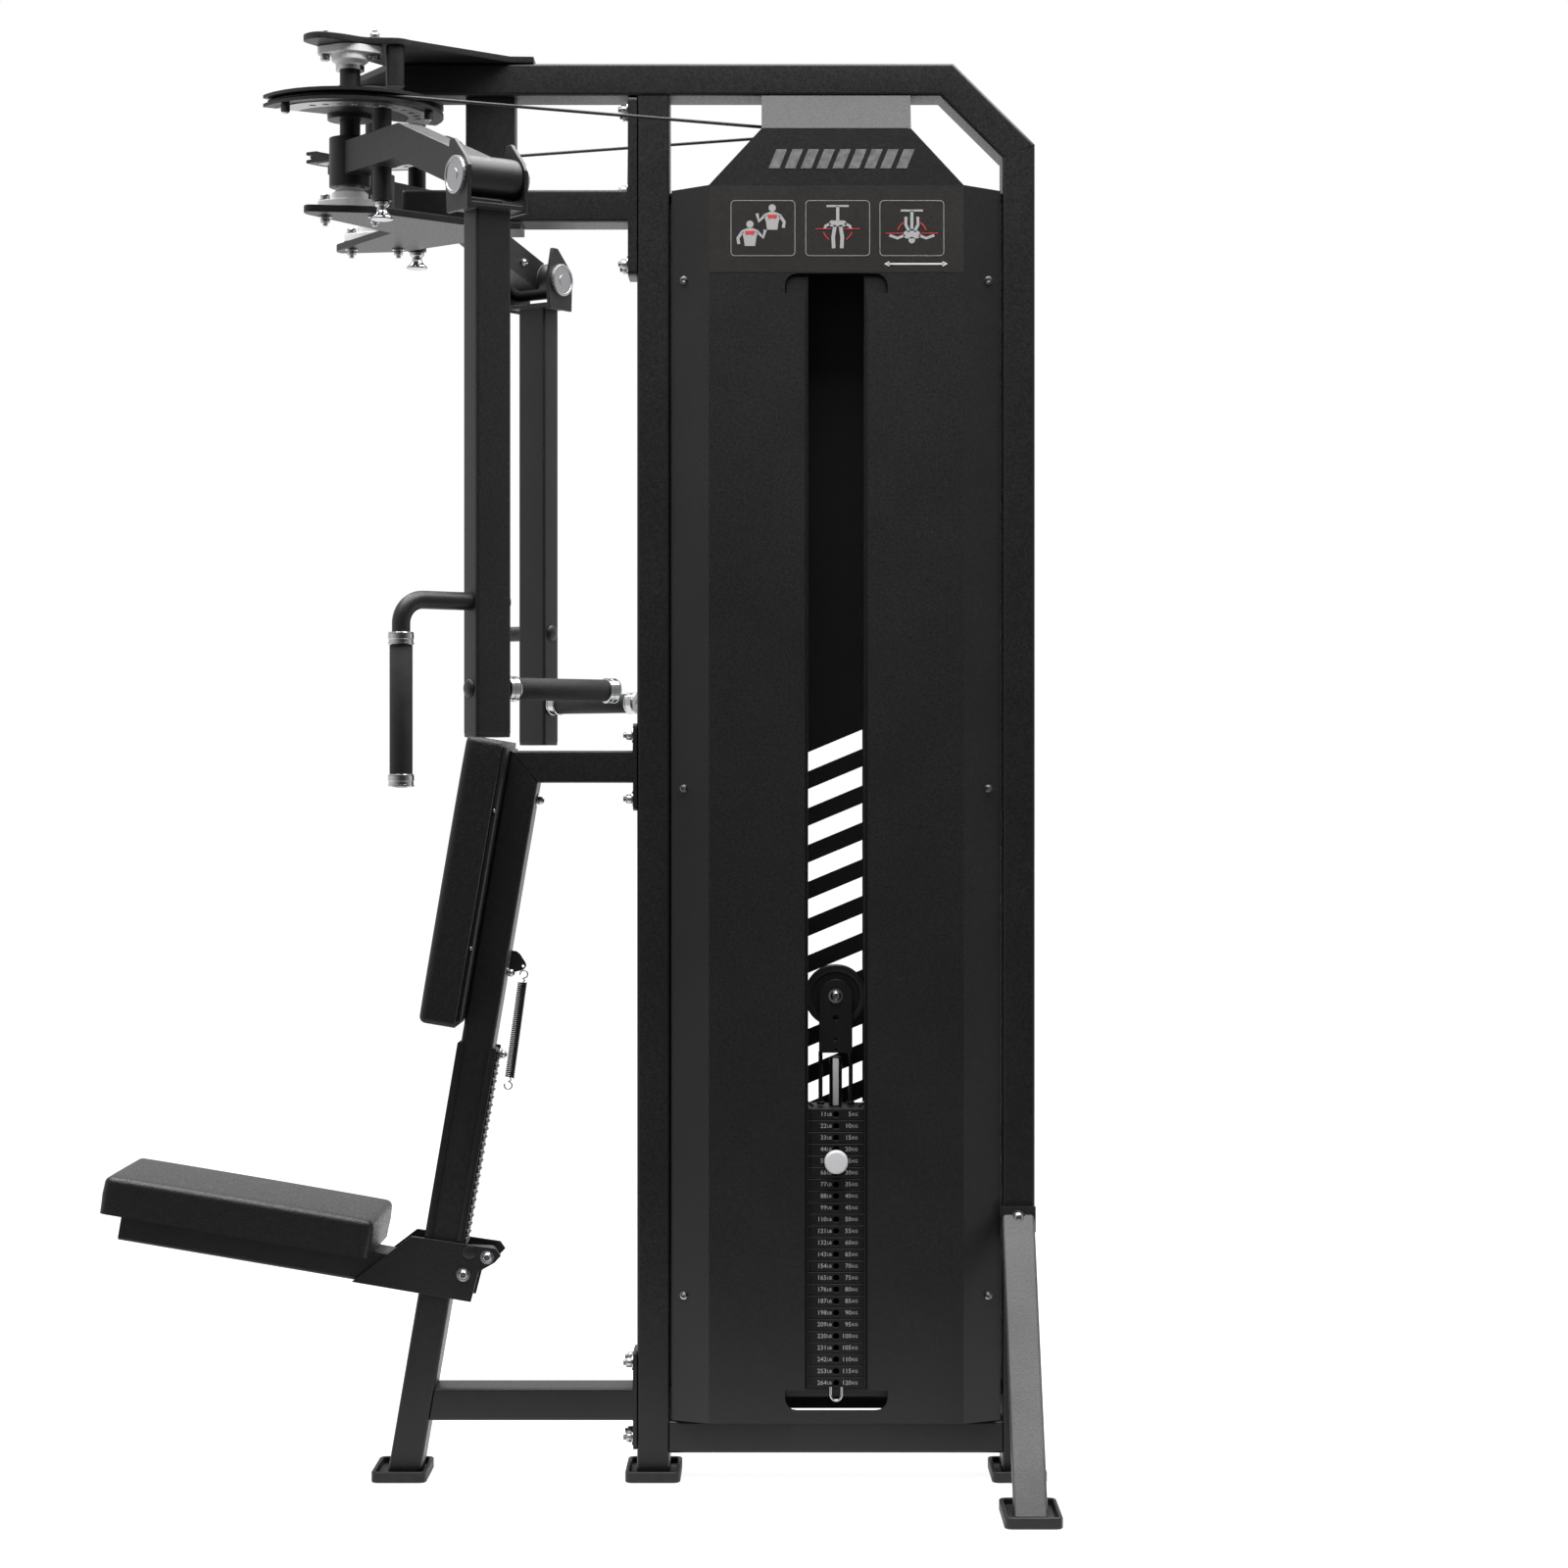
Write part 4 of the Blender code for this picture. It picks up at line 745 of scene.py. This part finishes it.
def weight_plate(index):
    """One weight plate: a flat bar, bored for the pin."""
    x, z = PLATE_LONG / 2, (PITCH - PLATE_GAP) / 2
    shape = slab([[(-x, -z), (x, -z), (x, z), (-x, z)], ring(0.0047, 20)], PLATE_DEEP)
    return moved(shape, facing_side(STACK_X, 0, plate_z(index)))


def build_stack():
    groups = {"top_plate": range(1), "selected_plates": range(1, SELECTED), "resting_plates": range(SELECTED, PLATES)}
    for node, members in groups.items():
        plates = [weight_plate(i) for i in members]
        made = piece(node + "_iron", plates, PLATE_COAT, BODY_OF[node], smooth=30, stands_for=node)
        bevelled(made, 0.0009, 60)
    for node, members in groups.items():
        marks = []
        for i in members:
            z = plate_z(i)
            for unit, step, x in (("LB", 11, -0.0145), ("KG", 5, 0.0235)):
                marks.append(text_shape(str(step * (i + 1)), 0.0098, x, z, "RIGHT"))
                marks.append(text_shape(unit, 0.0066, x + 0.0007, z - 0.0004))
        piece(node + "_numbers", marks, GREY_INK, BODY_OF[node])
    bush = mm((10.4, 0), (17.5, 0), (17.5, 1.6), (15, 2.6), (15, 6.8), (10.4, 7.4))
    bushes = [moved(lathe(bush, 32), (STACK_X + s * GUIDE_OFFSET, 0, STACK_TOP_Z)) for s in BOTH]
    piece("guide_bushes", bushes, CHROME, "stack")
    for node in ("front_guide_rod", "rear_guide_rod"):
        dressed(node, CHROME, 0, 50)
    label = flat_bar(0.0092, 0.0735, 0.001, 0.0030, steps=2)
    piece("selector_rod_label", label, KNOB_FACE, "stack", facing_side(STACK_X, -0.0105, 0.6133))
    dressed("selector_rod", BLACK_COAT, 0, 50)
    clips, dots = [], []
    for s in BOTH:
        low, high = (Vector((STACK_X + s * x, -0.040, STACK_TOP_Z + z)) for x, z in mm((34.5, 1.8), (42.5, 7.8)))
        clips.append(rod(low, high, 0.0024, 14))
        dots.append(dome(high, high - low, 0.0026, 0.0016))
    piece("stack_clips", clips, PLASTIC, "stack")
    piece("stack_clip_ends", dots, ZINC, "stack")
    build_selector_pin()
    build_yoke()
    # The chrome eye of the rod below the lowest plate.
    r, z = 0.0085, STACK_TOP_Z - PLATES * PITCH
    eye = [(STACK_X + r * cos(a), -0.060, z - 0.008 + 0.0095 * sin(a)) for a in [pi + pi * k / 14 for k in range(15)]]
    eye = [(STACK_X - r, -0.060, z + 0.004), *eye, (STACK_X + r, -0.060, z + 0.004)]
    piece("stack_foot_eye", sweep(eye, 0.0022), CHROME, smooth=60)


def build_selector_pin():
    z = plate_z(SELECTED - 1)
    shaft = lathe(mm((0, 20), (3.6, 20), (4.5, 18.5), (4.5, -64), (0, -64)), 24)
    piece("selector_pin_shaft", shaft, CHROME, "selector_pin", along((STACK_X, 0, z), Y_AXIS))
    knob = mm((0, -10), (16.5, -10), (17.8, -9.2), (18, -8), (18, 2.2), (17.2, 4), (15, 5.8), (6, 6.2), (0, 6.2))
    where = along((STACK_X, -0.070, z), -Y_AXIS)
    piece("selector_knob", lathe(knob, 48), KNOB_FACE, "selector_pin", where, 30, "selector_pin")


def pulley():
    """A moulded cable pulley: hub, recessed web and a round-bottomed groove."""
    half, root = PULLEY_HALF, FALL - CABLE_R - 0.0004
    turns = [radians(80 - 20 * k) for k in range(9)]
    upper = [(r, half - drop) for r, drop in mm(
        (6.4, 0), (13.5, 0), (14.2, 0.7), (14.8, 3.2), (36.5, 3.2), (37.2, 2.6), (38, 0.5), (38.8, 0), (47.1, 0),
        (48.5, 1.2), (47.9, 2.2),
    )]
    groove = [(root + 0.0034 * (1 - cos(a)), 0.0031 * sin(a)) for a in turns]
    return lathe(upper + groove + [(r, -h) for r, h in upper[::-1]], 56)


def build_yoke():
    """The floating pulley between two steel cheeks, and the stirrup that carries the stack."""
    node, where = "floating_pulley", along((STACK_X, 0, FLOATING_Z), Y_AXIS)
    piece("floating_pulley_moulding", pulley(), NYLON, node, where, 35, stands_for=node)
    half, thickness, inner, foot, trim = 0.0258, 0.004, 0.0105, 0.6585 - FLOATING_Z, 0.0015
    outline = [(trim - half, foot), (half - trim, foot), (half, foot + trim)] + arc(half, 0, pi, 20)
    outline.append((-half, foot + trim))
    cheeks = []
    for s in BOTH:
        holes = [ring(0.0042, 16, (0, -0.0335)), ring(0.0024, 12, (0, -0.067)), ring(0.0024, 12, (0, -0.0835))]
        where = facing_side(STACK_X, s * (inner + thickness / 2), FLOATING_Z)
        cheeks.append(moved(slab([outline, *holes], thickness), where))
    bar = flat_bar(2 * half - 0.001, 2 * inner, 0.002, 0.034, 0.0008)
    cheeks.append(moved(bar, (STACK_X, 0, 0.6765)))
    bevelled(piece("yoke_cheeks", cheeks, BLACK_COAT, "stack", stands_for="stack_yoke"), 0.0006, 50)
    legs = []
    for x in (STACK_X - 0.0235, STACK_X + 0.0235):
        legs.append(rod((x, 0, STACK_TOP_Z + 0.001), (x, 0, 0.660), 0.0033, 16))
        legs.append(moved(hexagon(0.011, 0.005), (x, 0, STACK_TOP_Z + 0.0035)))
    piece("stirrup_legs", legs, BLACK_COAT, "stack")
    outer = inner + thickness + 0.0004
    axle = [button_bolt((STACK_X, -outer, FLOATING_Z), -Y_AXIS, 0.0112), bolt((STACK_X, outer, FLOATING_Z), Y_AXIS)]
    piece("floating_pulley_axle", axle, ZINC, "stack")
    build_lifting_cable()


def build_lifting_cable():
    top = CABLE_Z - FALL - 0.0003
    bend = [(x, 0, z) for x, z in arc(FALL, pi, 2 * pi, 40, (STACK_X, FLOATING_Z))]
    under = sweep(bend, CABLE_R)
    piece("cable_under_pulley", under, CABLE_COAT, "stack", smooth=60, stands_for="lifting_cable")
    for name, side in SIDES:
        x = STACK_X + side * FALL
        shape = sweep([(x, 0, top), (x, 0, 1.4), (x, 0, FLOATING_Z)], CABLE_R)
        fall = piece(name + "_cable_fall", shape, CABLE_COAT, smooth=60)
        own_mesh(fall)


# ---------------------------------------------------------------- head pulleys and cable runs
def build_head():
    # The hood's folded sides slope all the way down to the shrouds' tops.
    outer = [(PANEL_Y, 2.0856), (0.0405, 2.1405)]
    inner = [(0.0389, 2.1389), (PANEL_Y - 0.0018, 2.0856)]
    section = outer + [(-y, z) for y, z in outer[::-1]] + [(-y, z) for y, z in inner[::-1]] + inner
    where = matrix_of((STACK_X, 0, 0), Y_AXIS, Z_AXIS)
    piece("pulley_hood", plate(section, 0.230, 0), HOOD_COAT, "frame", where, 20, stands_for="pulley_housing")
    for name, side in SIDES:
        heading = cable_heading(side)
        forward = Vector((cos(heading), sin(heading), 0))
        centre = Vector((STACK_X + side * FALL, 0, CABLE_Z - FALL)) - forward * FALL
        square = Z_AXIS.cross(forward)
        straps = []
        for s in BOTH:
            spot = centre + square * s * 0.0125 + Z_AXIS * 0.040
            straps.append(moved(flat_bar(0.026, 0.10, 0.004, 0.003), matrix_of(spot, forward, Z_AXIS)))
        straps.append(rod(centre - square * 0.0165, centre + square * 0.0165, 0.0058))
        piece(name + "_pulley_straps", straps, BLACK_COAT)
        node = name + "_head_pulley"
        piece(node + "_moulding", pulley(), NYLON, node, along(centre, square), 35, stands_for=node)
        tangent = Vector((SHAFT_X, side * SHAFT_Y, CABLE_Z)) + square * side * CABLE_ON_WHEEL_R
        run = [tangent + forward * 0.0003]
        run += [centre + forward * x + Z_AXIS * z for x, z in arc(FALL, pi / 2, 0, 16)]
        piece(name + "_cable_run", sweep(run, CABLE_R), CABLE_COAT, smooth=60, stands_for=name + "_cable")


# ---------------------------------------------------------------- shrouds
def build_shrouds():
    fold = 0.235 - 0.196  # how far past the fold each screw is
    for name, side in SIDES:
        dressed(name + "_shroud", PANEL_COAT, 0, 8)
        y = side * (PANEL_Y - fold * 0.030 / 0.0585)
        spots = [(STACK_X + s * 0.235, y, z) for s in BOTH for z in (1.854, 1.0695, 0.2869)]
        piece(name + "_shroud_screws", [button_bolt(spot, Y_AXIS * side, 0.0062, 0.0022) for spot in spots], ZINC)
    # The rails behind the slot's edges are real, but their near-black is painted shade; the backing plates at the
    # slot's head are painted shade for the dark inside there, and also hide the guide rods.
    rails, beads, returns = [], [], []
    for s in BOTH:
        rail = flat_bar(0.033, 1.714, 0.001, 0.0012, 0.0003, 2)
        rails.append(moved(rail, facing_side(STACK_X + s * 0.0612, -0.0612, 1.0025)))
        shade_backing = flat_bar(0.040, 0.048, 0.002, 0.0012, 0.0003, 2)
        rails.append(moved(shade_backing, facing_side(STACK_X + s * 0.069, -0.018, 1.879)))
        x = STACK_X + s * 0.0440
        beads.append(rod((x, -0.0618, 0.146), (x, -0.0618, 1.858), 0.0008, 12))
        # Folded returns close the gap beside the front post.
        strip = flat_bar(0.016, 1.886, 0.0005, 0.0015, 0.0002, 2)
        returns.append(moved(strip, facing_side(0.1481, s * 0.022, 1.040)))
    piece("slot_rails_and_shade_backing", rails, SLOT_SHADE_BLACK)
    piece("slot_beads", beads, PLASTIC)
    piece("shroud_returns", returns, PANEL_COAT)
    build_placard()
    # A plain row of slanted silver bars across the shroud's head.
    low, high = 2023.5, 2053
    lefts = [-98 + k * 24.5 for k in range(9)]
    bars = [[(x - 6, low), (x + 10.5, low), (x + 22.5, high), (x + 6, high)] for x in lefts]
    printed("silver_stripe", [[b] for b in bars], SILVER_INK, 0.0002)


def printed(name, shapes, material, lift):
    """Flat print on the near shroud's face. Each shape is its loops in mm, in x from the stack's centre and z."""
    slabs = [slab([mm(*loop) for loop in loops], 0.0002) for loops in shapes]
    piece(name, slabs, material, at=facing_side(STACK_X, -PANEL_Y - 0.0002 - lift, 0))


def line(points, width):
    """The outline of a thick line through the points."""
    left, right = [], []
    for before, (x, z), after in zip([points[0], *points], points, [*points[1:], points[-1]]):
        run = (Vector(after) - Vector(before)).normalized() * width / 2
        left.append((x - run.y, z + run.x))
        right.append((x + run.y, z - run.x))
    return left + right[::-1]


def shifted(x, z, turn, *points):
    return [(x + turn * a, z + b) for a, b in points]


def build_placard():
    """The exercise placard: three framed pictograms of the arms' paths, with no lettering. All in mm."""
    printed("placard_film", [[rounded(392, 133.5, 1, 2, (0, 1930.5))]], PLACARD, 0.0001)
    fly_x, row_x = 2.2, 116.3
    frames = [
        [rounded(99, 85.5, 6, 4, (x, 1931.5)), rounded(97.4, 83.9, 5.3, 4, (x, 1931.5))] for x in (-112.8, fly_x, row_x)
    ]
    printed("placard_frames", frames, GREY_INK, 0.0004)
    marks, reds = [], []
    for x, z, turn in ((-132.8, 1925, 1), (-98.5, 1950, -1)):
        marks.append(ring(5.6, 20, (x, z + 12.5)))
        marks.append(shifted(
            x, z, 1, (-13, 3), (-4, 6.5), (4, 6.5), (13, 3), (9.5, -10), (8, -21), (-8, -21), (-9.5, -10)
        ))
        marks.append(line(shifted(x, z, turn, (11.5, 1), (20.5, -8), (23.5, 4)), 4.8))
        marks.append(line(shifted(x, z, turn, (-11.5, 1), (-18.5, -9), (-17, -18)), 4.8))
        reds.append(shifted(x, z, 1, (-8, 2), (8, 2), (6, -4), (0, -2.8), (-6, -4)))
    marks += [line([(fly_x - 17, 1965.5), (fly_x + 17, 1965.5)], 3), line([(fly_x, 1965.5), (fly_x, 1943)], 4.8)]
    marks.append(rounded(27, 9.5, 4.5, 4, (fly_x, 1938.5)))
    for s in BOTH:
        marks.append(line(shifted(fly_x, 1938.5, s, (11, 0), (18.5, -3.5), (20, -8)), 4.2))
        marks.append(line(shifted(fly_x, 1936, s, (4, 0), (7, -18), (6.2, -35.5)), 5.6))
        reds.append(line(shifted(fly_x, 1930.5, s, (34, 0), (10, 0)), 1.2))
        bow = line(arc(23, radians(-55), radians(-20), 8, (0, 1933)), 1.4)
        reds.append(shifted(fly_x, 0, s, *bow))
    marks += [line([(row_x - 17, 1958.5), (row_x + 17, 1958.5)], 3), line([(row_x, 1958.5), (row_x, 1930)], 4.8)]
    marks += [rounded(26, 12, 5.5, 4, (row_x, 1921.5)), ring(5, 20, (row_x, 1913))]
    for s in BOTH:
        marks.append(line(shifted(row_x, 1926, s, (4, 0), (9.5, 11), (9, 23)), 4.6))
        marks.append(line(shifted(row_x, 1920.5, s, (11, 0), (22, -4.5), (34.5, 0)), 4.2))
        reds.append(line(shifted(row_x, 1923.5, s, (40, 0), (12, 0)), 1.2))
        bow = line(arc(23, radians(20), radians(55), 8, (0, 1921)), 1.4)
        reds.append(shifted(row_x, 0, s, *bow))
    printed("placard_figures", [[m] for m in marks], GREY_INK, 0.0004)
    printed("placard_accents", [[r] for r in reds], RED_INK, 0.0007)
    x, z = 122.5, 1876.5
    arrow = [rounded(88, 2.6, 1.2, 3, (x, z))]
    arrow += [shifted(x, z, s, (49, 0), (41, -4), (41, 4)) for s in BOTH]
    printed("placard_arrow", [[a] for a in arrow], WHITE_INK, 0.0004)


# ---------------------------------------------------------------- seat and back pad
def pad_block(size, face, radius):
    """A block of foam: its edges are rolled where face says, and it is fine enough to crown."""
    shape = bmesh.new()
    bmesh.ops.create_cube(shape, size=1.0)
    for vert in shape.verts:
        vert.co = Vector(a * b for a, b in zip(vert.co, size))
    rolled = [e for e in shape.edges if any(face(v.co) > 0 for v in e.verts)]
    bmesh.ops.bevel(shape, geom=rolled, offset=radius, segments=5, profile=0.5, affect="EDGES")
    long = [e for e in shape.edges if e.calc_length() > 0.03]
    bmesh.ops.subdivide_edges(shape, edges=long, cuts=18, use_grid_fill=True)
    return shape


def cover(name, node, body, shape, where):
    """The vinyl over a pad."""
    made = piece(name, shape, PAD_VINYL, body, where, 80, stands_for=node)


def build_seat():
    """The seat pad on its sliding carriage. The pad's top is crowned, and its sides pull in."""
    (b0, u0), (b1, u1), crown, pull = (-0.5172, 0.0078), (-0.101, 0.0685), 0.003, 0.0012
    size = Vector((b1 - b0, u1 - u0, PAD_WIDTH))
    shape = pad_block(size, lambda co: co.y, 0.011)
    for co in (vert.co for vert in shape.verts):
        x, y, z = (2 * co[i] / size[i] for i in range(3))
        swell = max(0.0, 1 - x * x) * max(0.0, 1 - z * z)
        co.y += crown * (swell ** 0.5 - 1) * max(y, 0.0)
        co.x -= pull * sin(abs(y) * pi / 2) * x * abs(x)
        co.y += 0.00035 * sin(co.x * 61 + co.z * 23) * sin(co.z * 47 - co.x * 19) * swell
    moved(shape, ((b0 + b1) / 2, (u0 + u1) / 2, 0))
    cover("seat_cushion", "seat_pad", "seat", shape, post_frame())
    dressed("seat_carriage", BLACK_COAT, 0.0006, 50)
    dressed("seat_pawl", LEG_COAT, 0.0006)
    cheek, heads = 0.0468, []
    for s in BOTH:
        for back, up in ((0.0717, 0.0281), (0.0397, -0.0046)):
            heads.append(button_bolt(on_post(back, up, s * cheek), Y_AXIS * s, 0.0108))
    piece("carriage_bolts", heads, ZINC, "seat")
    boss = mm((0, 2.2), (8.5, 2.2), (10.4, 1.2), (10.6, -1), (0, -1))
    bosses = [moved(lathe(boss), along(on_post(0.0430, 0.0310, s * cheek), Y_AXIS * s)) for s in BOTH]
    piece("carriage_bosses", bosses, PLASTIC, "seat")
    nose = flat_bar(TUBE_HIGH - 0.001, 0.0812, 0.005, 0.004, 0.0014)
    piece("carriage_nose_plug", nose, PLASTIC, "seat", matrix_of(on_post(-0.4955, -0.0175), POST_UP, Y_AXIS))


def build_back_pad():
    """The back pad, with the inset board and the bracket screws that hold it off the post."""
    (b0, u0), (b1, u1), crown = (-0.0893, 0.375), (-0.0315, 0.818), 0.003
    shape = pad_block((b1 - b0, u1 - u0, PAD_WIDTH), lambda co: -co.x, 0.010)
    for co in (vert.co for vert in shape.verts if vert.co.x < 0):
        y, z = co.y / (u1 - u0) * 2, co.z / PAD_WIDTH * 2
        swell = max(0.0, 1 - y * y) * max(0.0, 1 - z * z)
        ripple = 0.0003 * sin(co.y * 53 + co.z * 31) * sin(co.z * 47 - co.y * 17)
        co.x += crown * (1 - swell ** 0.5) * min(1.0, -co.x / 0.02) - ripple * swell
    cover("back_cushion", "back_pad", "frame", shape, post_frame((b0 + b1) / 2, (u0 + u1) / 2))
    board = flat_bar(0.0060, 0.425, 0.001, 0.225, 0.0008, 2)
    piece("back_board", board, PLASTIC, at=post_frame(-0.0283, 0.5965))
    heads = []
    for s in BOTH:
        for at in (on_post(-0.0283, up, s * 0.112) for up in (0.711, 0.498)):
            heads.append(rod(at, at + Y_AXIS * s * 0.0045, 0.0024, 16))
    piece("board_screws", heads, ZINC)


def build_post_fittings():
    build_back_pad()
    dressed("seat_rack", BLACK_COAT, 0.0004, 30)
    strip = flat_bar(0.0042, 0.388, 0.0015, 0.084, 0.001, 3)
    piece("front_wear_strip", strip, NYLON, at=post_frame(-0.0277, 0.153))
    lips = []
    for s in BOTH:
        for back in (-0.0242, 0.0262):
            lip = flat_bar(0.011, 0.388, 0.0015, 0.0022, steps=3)
            lips.append(moved(lip, post_frame(back, 0.153, s * 0.0414)))
    piece("wear_strip_lips", lips, NYLON)
    ups = [-0.022 + i * 0.0125 for i in range(30)]
    teeth = [rod(on_post(0.0335, up, -0.031), on_post(0.0335, up, 0.031), 0.0022, 10) for up in ups]
    piece("rack_teeth", teeth, BLACK_COAT)
    build_spring()
    bolts = [bolt(on_post(0.0252, up), POST_BACK, 0.012, 0.010, 0.003) for up in (0.736, 0.464)]
    bolts.append(bolt(on_post(0.0345, 0.337), POST_BACK, 0.012, 0.009, 0.003))
    piece("post_bolts", bolts, ZINC)


def build_spring():
    """The seat's counter spring: close-wound, with an open hook at each end."""
    top, foot, turns, steps = on_post(0.0510, 0.452), on_post(0.0560, 0.303), 52, 12
    axis = (foot - top).normalized()
    side = axis.cross(Y_AXIS).normalized()
    up = axis.cross(side)
    coil = []
    for k in range(turns * steps + 1):
        a = 2 * pi * k / steps
        coil.append(top.lerp(foot, k / (turns * steps)) + (side * cos(a) + up * sin(a)) * 0.0064)
    shape = sweep(coil, 0.00125, 6)
    piece("spring_coil", shape, SPRING_STEEL, smooth=80, stands_for="counter_spring")
    hooks = []
    for end, sign in ((top, 1), (foot, -1)):
        out = POST_UP * sign
        path = [end - out * 0.002, end + out * 0.004 + POST_BACK * 0.003]
        for a in (radians(-100 + 25 * k) for k in range(13)):
            path.append(end + out * (0.013 + 0.006 * sin(a)) + POST_BACK * 0.006 * cos(a))
        hooks.append(sweep(path, 0.0011, 8))
    piece("spring_hooks", hooks, ZINC, smooth=80)
    outline = mm(
        (25.6, 462), (45.5, 470), (50.5, 473.5), (52.8, 479), (50, 484), (40, 495), (34, 498.5), (25.6, 498.5)
    )
    piece("spring_bracket", slab([outline, ring(0.0022, 12, (0.0478, 0.4775))], 0.006), BLACK_COAT, at=post_frame())


build_stage()
build_frame()
build_bearings()
build_wheels()
build_swing_arms()
build_press_arms()
build_stack()
build_head()
build_shrouds()
build_seat()
build_post_fittings()
for node, made in NODES.items():
    made.data.materials.clear()
    made.data.materials.append(SLOT_FINISH[SLOT_OF[node]])
